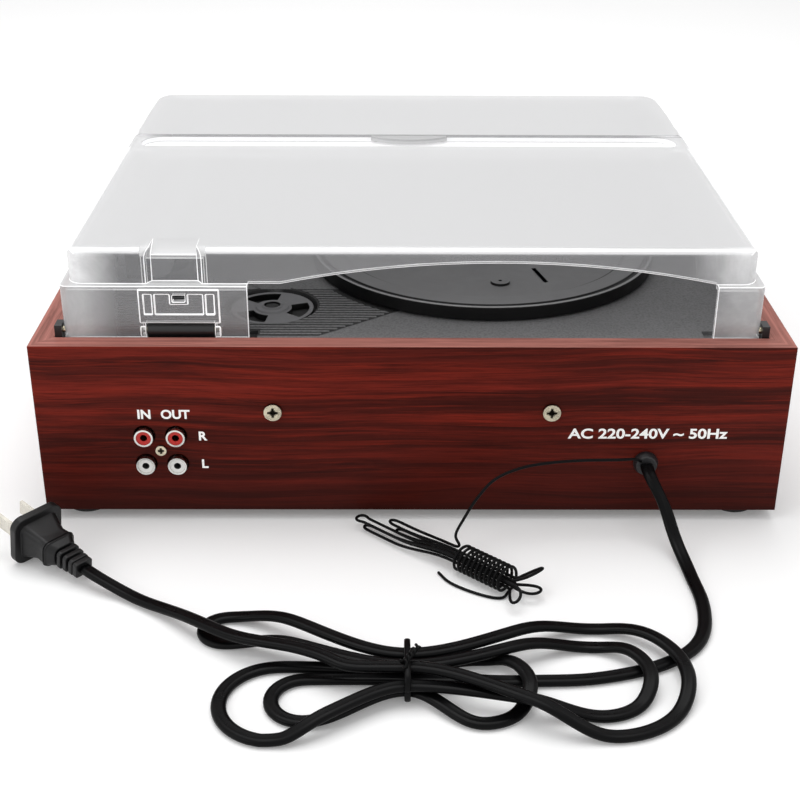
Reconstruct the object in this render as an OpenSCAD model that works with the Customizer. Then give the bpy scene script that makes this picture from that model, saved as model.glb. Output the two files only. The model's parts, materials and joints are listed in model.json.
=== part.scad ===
// Record player: a wooden box with a hinged clear lid, a belt-driven platter, a tonearm,
// a radio front with speakers, and a tied mains lead and aerial wire behind it.
// X runs across, the front faces -Y, and Z rises from the surface that the feet stand on.

/* [Cabinet] */
// Width of the wooden box
box_w = 330; // [324:1:350]
// Depth of the wooden box
box_d = 315; // [308:1:330]
// Height of the wooden box without its feet
box_h = 81; // [80:1:90]
// Thickness of the boards
board_t = 10; // [8:0.5:11]
// Thickness of the bottom panel
bottom_t = 4; // [3:0.5:6]
// Side of the square corner blocks
block_w = 12; // [10:0.5:13]
// Height of the rubber feet
foot_h = 5; // [4:0.5:9]
// Diameter of the rubber feet
foot_d = 22; // [16:1:24]

/* [Deck] */
// How far the deck lies below the rim of the box
deck_drop = 2; // [1:0.5:3]
// Thickness of the deck
deck_t = 3; // [2.5:0.5:4]
// Pitch of the ribs on the deck
rib_pitch = 2.75; // [2.5:0.25:5]
// Width of a rib
rib_w = 1.4; // [1:0.2:2]
// Height of a rib
rib_h = 0.6; // [0.4:0.1:1]
// Place of the adapter across the deck
well_x = 64; // [58:1:68]
// Distance of the adapter from the outside of the rear board
well_back = 50; // [46:1:56]
// Diameter of the adapter's well
well_d = 41.6; // [40:0.2:44]
// Depth of the adapter's well
well_depth = 4; // [3:0.5:6]

/* [Adapter] */
// Diameter of the adapter for large-holed records
adapter_d = 38.2; // [37:0.1:39]
// Thickness of the adapter
adapter_t = 3.2; // [2.4:0.2:4]
// Diameter of the adapter's raised hub
hub_d = 15; // [13:0.5:18]

/* [Lid] */
// Height of the lid's top above the surface
lid_top = 125; // [124:0.5:135]
// Height of the step between the skirt and the hood
skirt_top = 109; // [107:0.5:111]
// Wall of the lid
lid_wall = 2.5; // [2:0.1:3]
// Gap between the skirt and the side boards
lid_side_gap = 3.5; // [3:0.1:5]
// Gap between the lid and the front and rear boards
lid_end_gap = 1.5; // [1.2:0.1:2.5]
// How far the hood steps in from the skirt on each side
hood_step = 3; // [2:0.5:4]
// Rounding of the hood's top edges
hood_round = 5; // [3:0.5:7]
// Rounding of the lid's front corners, seen from above
front_round = 22; // [12:1:26]
// Distance of the groove's rear edge from the outside of the rear board
groove_back = 168; // [160:1:176]
// Width of the groove across the lid
groove_w = 22; // [16:1:26]
// Depth of the groove
groove_depth = 4; // [3:0.5:5]
// Drop of the top from the groove to the front edge
front_drop = 5.5; // [4:0.5:9]
// Left end of the rear cut-out
arch_left = -131; // [-135:1:-120]
// Right end of the rear cut-out
arch_right = 71; // [60:1:76]
// Where the arched part of the cut-out ends on the right
arch_turn = 57; // [50:1:60]
// Height of the arch above the step
arch_rise = 9.5; // [6:0.5:11]

/* [Lid hinge] */
// Distance of the hinge axis in front of the lid's rear face
axis_in = 2.5; // [2:0.1:3]
// Height of the hinge axis above the rim
axis_up = 2; // [1.8:0.1:3]
// Centre of the hinge block across the lid
hinge_x = 100.5; // [96:0.5:106]
// Width of the hinge block
hinge_w = 29; // [24:1:32]
// Diameter of the hinge knuckle
knuckle_d = 6.4; // [5.6:0.1:6.8]
// Diameter of the hinge pin
hinge_pin_d = 2.4; // [2:0.1:3]
// Diameter of the side pivot pins
pivot_pin_d = 3; // [2:0.1:3.4]

/* [Platter] */
// Place of the spindle across the deck
platter_x = -36; // [-40:1:-30]
// Distance of the spindle from the outside of the rear board
platter_back = 116; // [112:1:122]
// Diameter of the platter
platter_d = 169; // [160:1:172]
// Height of the platter's rim
platter_h = 6.4; // [6:0.1:8]
// Gap between the platter and the deck
platter_gap = 0.8; // [0.6:0.1:1.2]
// Diameter of the record spindle
spindle_d = 7.1; // [7:0.02:7.2]
// Diameter of the spindle's lower part, which the platter turns on
bearing_d = 8.4; // [8:0.1:9]
// Height of the spindle above the platter
spindle_up = 12; // [9:0.5:14]
// Radius of the drum that the belt runs on
drum_r = 56; // [50:1:60]
// Radius of the motor pulley
pulley_r = 5; // [4:0.25:6]
// Distance of the motor shaft from the spindle
motor_reach = 70; // [68:0.5:72]
// Direction of the motor from the spindle, in degrees
motor_angle = 215; // [200:1:230]

/* [Tonearm] */
// Distance of the arm's pivot from the box's side
arm_side = 49; // [47:1:53]
// Distance of the arm's pivot from the outside of the rear board
arm_back = 75; // [72:1:80]
// Length from the pivot to the stylus
arm_len = 182; // [176:1:184]
// Diameter of the arm tube
tube_d = 7; // [6:0.5:8]
// Height of the tube's axis above the platter
arm_up = 12.8; // [12.4:0.1:13.4]
// Width of the headshell
shell_w = 17; // [14:1:20]
// Length of the headshell
shell_len = 34; // [30:1:40]
// Distance of the arm rest from the pivot
rest_reach = 66; // [60:1:72]

/* [Front] */
// Width of the control panel
panel_w = 140; // [136:1:142]
// Height of the control panel
panel_h = 66; // [64:1:70]
// Width of the dial window
dial_w = 112; // [106:1:116]
// Height of the dial window
dial_h = 20; // [18:1:22]
// Diameter of the knobs
knob_d = 22; // [18:1:24]
// Length of the knobs
knob_len = 12; // [10:0.5:14]
// Distance between the knobs
knob_pitch = 36; // [30:1:38]
// Gap between the control panel and the speaker grilles
speaker_gap = 5.5; // [4:0.5:8]
// Gap between the speakers and the corner blocks
speaker_room = 2.5; // [1:0.5:5]
// How far the grilles and the drivers overlap the board round the speaker openings
grille_lip = 2.5; // [2:0.5:4]

/* [Rear] */
// Middle of the four sockets across the rear
jack_x = 111; // [100:1:118]
// Height of the middle of the sockets above the surface
jack_z = 36; // [32:1:40]
// Distance between the sockets
jack_pitch = 14; // [13:0.5:15]
// Diameter of the socket shells
jack_d = 8.3; // [8.2:0.1:8.6]
// Diameter of the holes round the sockets
jack_hole_d = 10.8; // [10:0.1:11.4]
// How far the sockets stand out of the rear
jack_out = 3; // [2:0.5:4]
// Distance of the rear screws from the middle
rear_screw_x = 61; // [50:1:66]
// Height of the rear screws above the surface
rear_screw_z = 55; // [50:1:60]
// Place of the cord gland across the rear
gland_x = -104; // [-110:1:-98]
// Height of the cord gland above the surface
gland_z = 30; // [28:1:32]
// Diameter of the cord gland
gland_d = 11; // [10.5:0.5:13]
// How far the gland stands out of the rear
gland_out = 4; // [3:0.5:5]

/* [Leads] */
// Width of the flat mains lead
lead_w = 5; // [4.6:0.1:5.2]
// Thickness of the flat mains lead
lead_t = 3; // [2.6:0.1:3.2]
// Diameter of the aerial wire
wire_d = 1.3; // [1:0.1:1.4]
// Number of long loops in the aerial wire's bundle
wire_loops = 4; // [3:1:4]
// Number of turns wound round the aerial wire's bundle
wire_turns = 11; // [8:1:12]

/* [Clearances] */
// Radial clearance of shafts that turn in a bore
run_fit = 0.05; // [0.03:0.01:0.08]
// Radial clearance of pins that are held in a bore
held_fit = 0.02; // [0.01:0.01:0.03]
// Gap between pieces that move past each other
move_gap = 0.4; // [0.35:0.05:0.5]
// Gap at which one piece rests over another
rest_gap = 0.3; // [0.25:0.05:0.4]
// Gap between a panel and the opening that it fits
seat_gap = 0.4; // [0.2:0.1:0.5]

/* [Hidden] */
$fn = 48;

// Overall places: the box is moved so that the knobs and the gland reach equally far from the origin
panel_t = 2;
front_reach = panel_t + move_gap + knob_len;
rear_reach = max(jack_out, gland_out);
rear_y = (box_d + front_reach - rear_reach) / 2;
front_y = rear_y - box_d;
mid_y = (rear_y + front_y) / 2;
in_w = box_w - 2 * board_t;
in_d = box_d - 2 * board_t;
in_rear = rear_y - board_t;
in_front = front_y + board_t;
rim_z = foot_h + box_h;
deck_z = rim_z - deck_drop;
floor_z = foot_h + bottom_t;
cut = 1;

// Places on the deck
well = [well_x, rear_y - well_back];
hub = [platter_x, rear_y - platter_back];
pivot = [box_w / 2 - arm_side, rear_y - arm_back];
motor_at = hub + motor_reach * [cos(motor_angle), sin(motor_angle)];
platter_r = platter_d / 2;
platter_z = deck_z + platter_gap;
platter_top = platter_z + platter_h;
arm_z = platter_top + arm_up;
tube_r = tube_d / 2;
rest_at = [pivot[0], pivot[1] - rest_reach];

// Lid: outer planes and the hinge axis
lid_x = in_w / 2 - lid_side_gap;
hood_x = lid_x - hood_step;
lid_rear = in_rear - lid_end_gap;
lid_front = in_front + lid_end_gap;
lid_bottom = deck_z + rest_gap;
groove_rear = rear_y - groove_back;
groove_front = groove_rear - groove_w;
axis_y = lid_rear - axis_in;
axis_z = rim_z + axis_up;
rear_round = 3;
hood_corner = 7;
nose_round = 9;

// Pockets in the deck where the lid's rear corners swing down
pocket_depth = 2;
pocket_z = deck_z - pocket_depth;
pocket_len = 12;

// Shapes used by several pieces

module rod_x(r, x0, x1) {
    translate([x0, 0, 0]) rotate([0, 90, 0]) cylinder(h = x1 - x0, r = r);
}

module rod_y(r, y0, y1) {
    translate([0, y0, 0]) rotate([-90, 0, 0]) cylinder(h = y1 - y0, r = r);
}

module rounded_rect(w, d, r) {
    square([w, d - 2 * r], center = true);
    square([w - 2 * r, d], center = true);
    for (x = [-1, 1], y = [-1, 1]) translate([x * (w / 2 - r), y * (d / 2 - r)]) circle(r);
}

// A plate that stands upright and faces the front, from y0 back to y1, round the point x, z
module upright(w, h, r, x, z, y0, y1) {
    translate([x, y1, z]) rotate([90, 0, 0]) linear_extrude(y1 - y0) rounded_rect(w, h, r);
}

// A pan-head screw along +Z with a cross recess; its head's underside lies at z = 0
module screw(head_d, head_h, shank_d, shank_len, slot_w) {
    difference() {
        union() {
            cylinder(h = head_h, r = head_d / 2);
            translate([0, 0, -shank_len]) cylinder(h = shank_len, r = shank_d / 2);
        }
        for (a = [0, 90]) rotate(a) translate([0, 0, head_h])
            cube([head_d * 0.6, slot_w, head_h], center = true);
    }
}

// Rounding of a step from 0 to 1
function ease(t) = let (s = min(1, max(0, t))) s * s * (3 - 2 * s);
function mix(a, b, t) = a + (b - a) * t;
function unit(v) = v / norm(v);
function arc(c, r, a0, a1, n) = [for (i = [0:n]) let (a = mix(a0, a1, i / n)) c + r * [cos(a), sin(a)]];

// Cabinet

module mitred_board(len) {
    linear_extrude(box_h)
        polygon([[-len / 2, 0], [len / 2, 0], [len / 2 - board_t, -board_t],
            [board_t - len / 2, -board_t]]);
}

screw_d = 3.2;
screw_hole_r = screw_d / 2 + run_fit;
jack_places = [for (x = [-1, 1], z = [-1, 1]) [jack_x + x * jack_pitch / 2, jack_z + z * jack_pitch / 2]];
gland_neck_d = gland_d - 3;

module rear_panel() {
    color("#5a1a16") difference() {
        translate([0, rear_y, foot_h]) mitred_board(box_w);
        for (p = jack_places) translate([p[0], 0, p[1]])
            rod_y(jack_hole_d / 2, in_rear - cut, rear_y + cut);
        translate([jack_x, 0, jack_z]) rod_y(screw_hole_r, in_rear - cut, rear_y + cut);
        for (x = [-1, 1]) translate([x * rear_screw_x, 0, rear_screw_z])
            rod_y(screw_hole_r, in_rear - cut, rear_y + cut);
        translate([gland_x, 0, gland_z]) rod_y(gland_neck_d / 2 + held_fit, in_rear - cut, rear_y + cut);
    }
}

panel_z = foot_h + box_h / 2;
panel_lip = 4;
opening_w = panel_w - 2 * panel_lip;
opening_h = panel_h - 2 * panel_lip;
speaker_z = foot_h + box_h / 2;
speaker_d = in_w / 2 - block_w - panel_w / 2 - speaker_gap - speaker_room - 2 * grille_lip;
speaker_x = panel_w / 2 + speaker_gap + grille_lip + speaker_d / 2;

module front_panel() {
    color("#5a1a16") difference() {
        translate([0, front_y, foot_h]) rotate(180) mitred_board(box_w);
        upright(opening_w, opening_h, 3, 0, panel_z, front_y - cut, in_front + cut);
        for (x = [-1, 1]) translate([x * speaker_x, 0, speaker_z])
            rod_y(speaker_d / 2, front_y - cut, in_front + cut);
    }
}

module side_panel(side) {
    color("#641e19") translate([side * box_w / 2, mid_y, foot_h]) rotate(side * -90) mitred_board(box_d);
}

module left_panel() {
    side_panel(-1);
}

module right_panel() {
    side_panel(1);
}

block_at = [for (x = [-1, 1], y = [-1, 1])
    [x * (in_w - block_w) / 2, mid_y + y * (in_d - block_w) / 2]];

module bottom_panel() {
    color("#7a5a3c") difference() {
        translate([0, mid_y, foot_h]) linear_extrude(bottom_t)
            square([in_w - 2 * seat_gap, in_d - 2 * seat_gap], center = true);
        for (p = block_at) translate([p[0], p[1], foot_h - cut])
            cylinder(h = bottom_t + 2 * cut, r = screw_hole_r);
    }
}

// Corner blocks under the deck, and the rail that the rear screws hold
rail_h = 18;
rail_t = 14;
screw_len = 18;

module cleats() {
    color("#b08a5a") {
        for (p = block_at) translate([p[0], p[1], floor_z]) difference() {
            translate([-block_w / 2, -block_w / 2, 0])
                cube([block_w, block_w, deck_z - deck_t - floor_z]);
            translate([0, 0, -cut]) cylinder(h = screw_len + cut, r = screw_hole_r);
        }
        difference() {
            translate([-rear_screw_x - rail_h, in_rear - rail_t, rear_screw_z - rail_h / 2])
                cube([2 * (rear_screw_x + rail_h), rail_t, rail_h]);
            for (x = [-1, 1]) translate([x * rear_screw_x, 0, rear_screw_z])
                rod_y(screw_hole_r, in_rear - rail_t - cut, in_rear + cut);
        }
    }
}

foot_recess = 2.5;

module feet() {
    color("#161616") for (p = block_at) translate([p[0], p[1], 0]) rotate_extrude()
        polygon([[screw_hole_r, foot_recess], [foot_d / 4, foot_recess], [foot_d / 4, 0],
            [foot_d / 2 - 1.5, 0], [foot_d / 2, 1.5], [foot_d / 2 - 1, foot_h], [screw_hole_r, foot_h]]);
}

// Four screws hold the feet, two the rail, and a small one the socket block
module screws() {
    color("#b5a883") {
        for (p = block_at) translate([p[0], p[1], foot_recess]) mirror([0, 0, 1])
            screw(foot_d / 2 - 2, 1.6, screw_d, screw_len + bottom_t, 1);
        for (x = [-1, 1]) translate([x * rear_screw_x, rear_y, rear_screw_z]) rotate([-90, 0, 0])
            screw(7.8, 1.6, screw_d, board_t + rail_t - 2, 1.1);
        translate([jack_x, rear_y, jack_z]) rotate([-90, 0, 0])
            screw(4.8, 1.4, screw_d, board_t + 4, 0.9);
    }
}

// Deck

deck_w = in_w - 2 * seat_gap;
deck_d = in_d - 2 * seat_gap;
well_floor = 1.2;
well_post_r = 3.3;
shaft_hole_r = pulley_r + 2.5;
boss_h = 8;
boss_wall = 4;
bearing_r = bearing_d / 2;
arm_shaft_r = 4;
selector_x = 76;
selector_front = 40;
selector_at = [selector_x, front_y + selector_front];
selector_travel = 16;
autostop_x = 26;
autostop_front = 36;
autostop_at = [autostop_x, front_y + autostop_front];
autostop_travel = 6;
switch_stem = [5, 3];

module switch_slot(at, travel) {
    room = [switch_stem[0] + 2 * move_gap, switch_stem[1] + 2 * move_gap];
    translate([at[0] - room[0] / 2, at[1] - room[1] / 2, deck_z - deck_t - cut])
        cube([room[0] + travel, room[1], deck_t + 2 * cut]);
}

// Ribs run across the rear right of the deck and end on a slanting line that starts by the cut-out
rib_start = [40, in_rear - 7];
rib_slant = 0.8;
rib_end_x = in_w / 2 - 12;
rib_rows = floor((in_rear - 12 - pivot[1]) / rib_pitch);

module deck_ribs() {
    translate([0, 0, deck_z - 0.1]) linear_extrude(rib_h + 0.1) difference() {
        for (i = [0:rib_rows]) let (y = rib_start[1] - i * rib_pitch)
            translate([rib_start[0] - (rib_start[1] - y) / rib_slant, y - rib_w]) square(
                [rib_end_x - rib_start[0] + (rib_start[1] - y) / rib_slant, rib_w]);
        translate(well) circle(well_d / 2 + 1);
        translate(hub) circle(platter_r + 3);
        translate(pivot) circle(arm_base_r + 1);
        translate([arch_right - 4, in_rear - pocket_len - 1]) square([in_w, pocket_len + 2]);
    }
}

module deck_plate() {
    color("#2b2c2e") difference() {
        union() {
            translate([0, mid_y, deck_z - deck_t]) linear_extrude(deck_t)
                square([deck_w, deck_d], center = true);
            translate([well[0], well[1], deck_z - well_depth - well_floor])
                cylinder(h = well_depth + well_floor - cut, r = well_d / 2 + well_floor);
            translate([hub[0], hub[1], deck_z - boss_h])
                cylinder(h = boss_h - cut, r = bearing_r + boss_wall);
            translate([pivot[0], pivot[1], deck_z - boss_h])
                cylinder(h = boss_h - cut, r = arm_shaft_r + boss_wall);
            deck_ribs();
        }
        difference() {
            translate([well[0], well[1], deck_z - well_depth])
                cylinder(h = well_depth + 2 * cut, r = well_d / 2);
            translate([well[0], well[1], deck_z - well_depth - cut])
                cylinder(h = well_depth + cut, r = well_post_r);
        }
        translate([hub[0], hub[1], deck_z - boss_h - cut])
            cylinder(h = boss_h + 2 * cut, r = bearing_r + held_fit);
        translate([pivot[0], pivot[1], deck_z - boss_h - cut])
            cylinder(h = boss_h + 2 * cut, r = arm_shaft_r + run_fit);
        translate([motor_at[0], motor_at[1], deck_z - deck_t - cut])
            cylinder(h = deck_t + 2 * cut, r = shaft_hole_r);
        translate([arch_right - 3, in_rear - pocket_len, pocket_z])
            cube([in_w, pocket_len + cut, deck_t]);
        translate([arch_left + 3 - in_w, in_rear - pocket_len, pocket_z])
            cube([in_w, pocket_len + cut, deck_t]);
        switch_slot(selector_at, selector_travel);
        switch_slot(autostop_at, autostop_travel);
        translate([lift_stem[0], lift_stem[1], deck_z - deck_t - cut])
            cylinder(h = deck_t + 2 * cut, r = stem_r + run_fit);
    }
}

// Three sickle-shaped windows leave three lobes round the adapter's hub
adapter_z = deck_z - well_depth;
window_ring = [hub_d / 2 + 1.5, adapter_d / 2 - 2.2];

module single_adapter() {
    color("#3a3b3d") translate([well[0], well[1], adapter_z]) difference() {
        union() {
            cylinder(h = adapter_t, r = adapter_d / 2);
            cylinder(h = adapter_t + 0.8, r = hub_d / 2);
            cylinder(h = adapter_t + 1.6, r = hub_d / 4 + 1);
        }
        translate([0, 0, -cut]) cylinder(h = adapter_t + 4, r = spindle_d / 2 + 0.12);
        for (a = [20, 140, 260]) rotate(a) translate([0, 0, -cut])
            rotate_extrude(angle = 62) translate([window_ring[0], 0])
                square([window_ring[1] - window_ring[0], adapter_t + 2 * cut]);
    }
}

// Rear sockets

jack_back = in_rear - 3;
insert_r = jack_d / 2 - 0.8;
plug_hole_r = 1.6;
plug_hole_len = 8;
jack_face = rear_y + jack_out;

module jack_board() {
    color("#1c1d1f") difference() {
        union() {
            upright(2 * jack_pitch + 2, 2 * jack_pitch + 2, 2, jack_x, jack_z, jack_back, in_rear);
            upright(2 * jack_pitch - 4, 2 * jack_pitch - 4, 2, jack_x, jack_z, jack_back - 8, jack_back);
        }
        translate([jack_x, 0, jack_z]) rod_y(screw_hole_r, jack_back - 9, in_rear + cut);
    }
}

module jack_shells() {
    color("#d8d8d4") for (p = jack_places) translate([p[0], 0, p[1]]) difference() {
        rod_y(jack_d / 2, in_rear, jack_face);
        rod_y(insert_r, in_rear - cut, jack_face + cut);
    }
}

module jack_insert(p) {
    translate([p[0], 0, p[1]]) difference() {
        rod_y(insert_r - held_fit, in_rear, jack_face - 0.5);
        rod_y(plug_hole_r, jack_face - 0.5 - plug_hole_len, jack_face + cut);
    }
}

module red_jack_inserts() {
    color("#c8261e") for (p = jack_places) if (p[1] > jack_z) jack_insert(p);
}

module white_jack_inserts() {
    color("#efeeea") for (p = jack_places) if (p[1] < jack_z) jack_insert(p);
}

module cord_gland() {
    color("#141414") translate([gland_x, 0, gland_z]) {
        rod_y(gland_neck_d / 2, in_rear, rear_y);
        rod_y(gland_d / 2, in_rear - 2, in_rear);
        translate([0, rear_y, 0]) rotate([-90, 0, 0]) rotate_extrude()
            polygon([[0, 0], [gland_d / 2, 0], [gland_d / 2, 1.5], [gland_d / 2 - 1, gland_out],
                [0, gland_out]]);
    }
}

// Front

dial_z = panel_z + panel_h / 2 - 8 - dial_h / 2;
knob_z = panel_z - panel_h / 2 + 16;
knob_places = [-knob_pitch, 0, knob_pitch];
knob_shaft_r = 3;
lamp_x = -knob_pitch - 18;
lamp_r = 1.5;
socket_x = knob_pitch + 18;
socket_r = 4;
socket_bore_r = 1.8;
socket_bore_len = 12;
panel_front = front_y - panel_t;
window_t = 1.5;
scale_t = 1;
scale_y = front_y + 5.5;
post_w = 3;

module control_panel() {
    color("#1b1b1d") difference() {
        union() {
            upright(panel_w, panel_h, 4, 0, panel_z, panel_front, front_y);
            for (x = [-1, 1], z = [-1, 1])
                translate([x * (dial_w / 2 + post_w + 1), (front_y + scale_y - 0.1) / 2, dial_z + z * 5])
                    cube([post_w, scale_y - front_y + 0.1, post_w], center = true);
        }
        upright(dial_w, dial_h, 2, 0, dial_z, panel_front - cut, front_y + cut);
        for (x = knob_places) translate([x, 0, knob_z])
            rod_y(knob_shaft_r + run_fit, panel_front - cut, front_y + cut);
        translate([lamp_x, 0, knob_z]) rod_y(lamp_r + held_fit, panel_front - cut, front_y + cut);
        translate([socket_x, 0, knob_z]) rod_y(socket_r + held_fit, panel_front - cut, front_y + cut);
    }
}

module dial_window() {
    color("#c9dbe6", 0.4) upright(dial_w + 4, dial_h + 3, 2, 0, dial_z, front_y, front_y + window_t);
}

// The scale plate hangs on the panel's posts, and the pointer rides on its top edge
scale_w = dial_w + 4 * post_w;
scale_h = dial_h - 2;

module dial_scale() {
    color("#e8e2cc") upright(scale_w, scale_h, 1, 0, dial_z - 1, scale_y, scale_y + scale_t);
}

pointer_w = 1.4;
pointer_travel = dial_w - 16;
pointer_x = -pointer_travel / 2;
scale_top = dial_z - 1 + scale_h / 2;

module dial_pointer() {
    color("#d8412c") translate([pointer_x, 0, 0]) {
        translate([-pointer_w / 2, scale_y - 1.4, dial_z - scale_h / 2])
            cube([pointer_w, 1, scale_h + 1]);
        translate([-3, scale_y - 1.4, scale_top + run_fit]) cube([6, scale_t + 2.8, 1.2]);
        translate([-3, scale_y + scale_t + 0.4, scale_top - 4]) cube([6, 1, 4 + run_fit]);
    }
}

module power_lamp() {
    color("#e03020") translate([lamp_x, 0, knob_z]) {
        rod_y(lamp_r, panel_front - 0.6, front_y + 5);
        rod_y(lamp_r + 0.6, front_y, front_y + 5);
    }
}

module headphone_socket() {
    color("#c0c0c0") translate([socket_x, 0, knob_z]) difference() {
        union() {
            rod_y(socket_r, panel_front - 0.5, front_y + 14);
            rod_y(socket_r + 2, front_y, front_y + 14);
        }
        rod_y(socket_bore_r, panel_front - cut, panel_front - 0.5 + socket_bore_len);
    }
}

// A fluted knob with a shaft that turns in the control behind the panel
flutes = 24;
flute_r = 0.9;
shaft_len = 6;

module knob(x) {
    translate([x, 0, knob_z]) difference() {
        union() {
            rod_y(knob_d / 2, panel_front - move_gap - knob_len, panel_front - move_gap);
            rod_y(knob_shaft_r, panel_front - move_gap - cut, front_y + shaft_len);
        }
        for (i = [0:flutes - 1]) rotate([0, i * 360 / flutes, 0]) translate([knob_d / 2, 0, 0])
            rod_y(flute_r, panel_front - move_gap - knob_len + 2, panel_front - move_gap - 2);
        translate([0, panel_front - move_gap - knob_len, knob_d / 4 + 1])
            cube([1, 1.2, knob_d / 3], center = true);
    }
}

module volume_knob() {
    color("#8f9092") knob(knob_places[0]);
}

module function_knob() {
    color("#8f9092") knob(knob_places[1]);
}

module tuning_knob() {
    color("#8f9092") knob(knob_places[2]);
}

// A control behind the panel, with a blind hole for its knob's shaft
module control_body(x, w, h, depth) {
    translate([x, 0, knob_z]) difference() {
        upright(w, h, 1, 0, 0, front_y, front_y + depth);
        rod_y(knob_shaft_r + run_fit, front_y - cut, front_y + shaft_len + 1);
    }
}

module volume_pot() {
    color("#777777") control_body(knob_places[0], 17, 17, 12);
}

module function_switch() {
    color("#4b4b50") control_body(knob_places[1], 22, 14, 16);
}

module tuning_capacitor() {
    color("#d9d9d2") control_body(knob_places[2], 20, 20, 18);
}

// Speakers: a slotted grille in the board, and the driver behind it
grille_t = 2;
grille_out = 1.2;
slot_pitch = 10;
slot_h = 2.6;
slot_edge = 8;
slot_rows = floor((speaker_d / 2 - slot_edge) / slot_pitch);
frame_r = speaker_d / 2 + grille_lip;
frame_t = 2;
flange_h = 4;
cone_depth = 12;
cone_t = 0.8;
coil_r = 8.5;
magnet_r = 17;
magnet_h = 16;
basket_h = 20;
roll_w = 3;

module at_speakers() {
    for (x = [-1, 1]) translate([x * speaker_x, 0, speaker_z]) children();
}

module speaker_grilles() {
    color("#202022") at_speakers() difference() {
        union() {
            rod_y(speaker_d / 2 + grille_lip, front_y - grille_out, front_y);
            rod_y(speaker_d / 2 - seat_gap, front_y - 0.1, front_y + grille_t);
        }
        for (i = [-slot_rows:slot_rows], x = [-1, 1]) let (
            z = i * slot_pitch,
            half = sqrt(speaker_d * speaker_d / 4 - z * z))
            upright(half - slot_edge + 2, slot_h, slot_h / 2 - 0.1, x * half / 2, z,
                front_y - grille_out - cut, front_y + grille_t + cut);
    }
}

// A pressed basket with the magnet behind it
module speaker_frames() {
    seat_r = frame_r - flange_h;
    color("#555555") at_speakers() difference() {
        translate([0, in_front, 0]) rotate([-90, 0, 0]) rotate_extrude()
            polygon([[0, basket_h - roll_w], [magnet_r - flange_h, basket_h - roll_w], [seat_r, roll_w],
                [seat_r, 0], [frame_r, 0], [frame_r, flange_h], [frame_r - frame_t, flange_h],
                [magnet_r, basket_h], [magnet_r, basket_h + magnet_h], [0, basket_h + magnet_h]]);
        rod_y(coil_r + move_gap, in_front + basket_h - flange_h, in_front + basket_h + flange_h);
    }
}

// A paper cone with a flat surround, and the voice coil in the magnet's gap
module speaker_cones() {
    edge_r = frame_r - flange_h;
    roll_r = edge_r - 2;
    rim_r = roll_r - roll_w;
    rim_y = roll_w / 2;
    color("#151515") at_speakers() translate([0, in_front, 0]) rotate([-90, 0, 0]) rotate_extrude()
        polygon([[0, cone_depth], [coil_r - 0.5, cone_depth + 0.6], [rim_r, roll_w], [roll_r, rim_y],
            [edge_r, rim_y], [edge_r, rim_y + cone_t], [roll_r, rim_y + cone_t], [rim_r, roll_w + cone_t],
            [coil_r, cone_depth + 2 * cone_t], [coil_r, basket_h - 1], [0, basket_h - 1]]);
}

// Inside the box

pcb_w = 120;
pcb_d = 84;
pcb_t = 1.6;
pcb_stand = 6;
pcb_hole = 5;
pcb_left = -30;
pcb_front = -30;
can_r = 6;
can_h = 20;
can_pitch = 26;
sink_w = 50;
sink_d = 20;

// The circuit board on four posts, with three capacitors and a heat sink
module main_board() {
    color("#1e5a34") translate([pcb_left, pcb_front, floor_z]) {
        translate([0, 0, pcb_stand]) cube([pcb_w, pcb_d, pcb_t]);
        for (x = [pcb_hole, pcb_w - pcb_hole], y = [pcb_hole, pcb_d - pcb_hole]) translate([x, y, 0])
            cylinder(h = pcb_stand, r = pcb_hole - 2);
        for (i = [-1:1]) translate([pcb_w / 2 - 12 + i * can_pitch, pcb_d - can_pitch, pcb_stand])
            cylinder(h = can_h, r = can_r);
        translate([(pcb_w - sink_w) / 2 - pcb_hole, pcb_d / 6, pcb_stand]) cube([sink_w, sink_d, can_r]);
    }
}

core_w = 46;
core_d = 36;
core_h = 40;
core_rib = 8;
bobbin_out = 7;
ear_out = 10;
ear_plate = 1.5;
core_back = 70;

// A laminated core with its bobbin, on a strap with two fixing ears
module transformer() {
    color("#8a6a3a") translate([gland_x - core_w / 2, in_rear - core_back, floor_z]) {
        cube([core_w, core_d, core_h]);
        translate([core_rib, -bobbin_out, core_rib])
            cube([core_w - 2 * core_rib, core_d + 2 * bobbin_out, core_h - 2 * core_rib]);
        translate([-ear_out, core_d / 6, 0]) cube([core_w + 2 * ear_out, core_d * 2 / 3, ear_plate]);
    }
}

// Drive

motor_r = 15;
motor_h = 24;
shaft_r = 1;
pulley_z = platter_z + 0.3;
pulley_h = 3;
belt_t = 0.8;
belt_h = 2;

module motor() {
    color("#9a9a9c") translate([motor_at[0], motor_at[1], deck_z - deck_t]) difference() {
        union() {
            translate([0, 0, -2]) linear_extrude(2) rounded_rect(2 * motor_r + 16, 14, 6);
            translate([0, 0, -motor_h]) cylinder(h = motor_h - 1, r = motor_r);
            translate([0, 0, -motor_h - 3]) cylinder(h = 4, r = 5);
        }
        translate([0, 0, -motor_h]) cylinder(h = motor_h + cut, r = shaft_r + run_fit);
    }
}

module motor_pulley() {
    color("#c9a95a") translate([motor_at[0], motor_at[1], 0]) {
        translate([0, 0, pulley_z]) {
            cylinder(h = 0.5, r = pulley_r + 1.2);
            cylinder(h = pulley_h, r = pulley_r);
            translate([0, 0, pulley_h - 0.5]) cylinder(h = 0.5, r = pulley_r + 1.2);
        }
        translate([0, 0, deck_z - deck_t - motor_h + 1])
            cylinder(h = pulley_z - deck_z + deck_t + motor_h, r = shaft_r);
    }
}

// The belt's two straight runs touch both circles on the same side
module belt_outline(grow) {
    hull() {
        circle(drum_r + grow, $fn = 96);
        rotate(motor_angle) translate([motor_reach, 0]) circle(pulley_r + grow, $fn = 32);
    }
}

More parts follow.
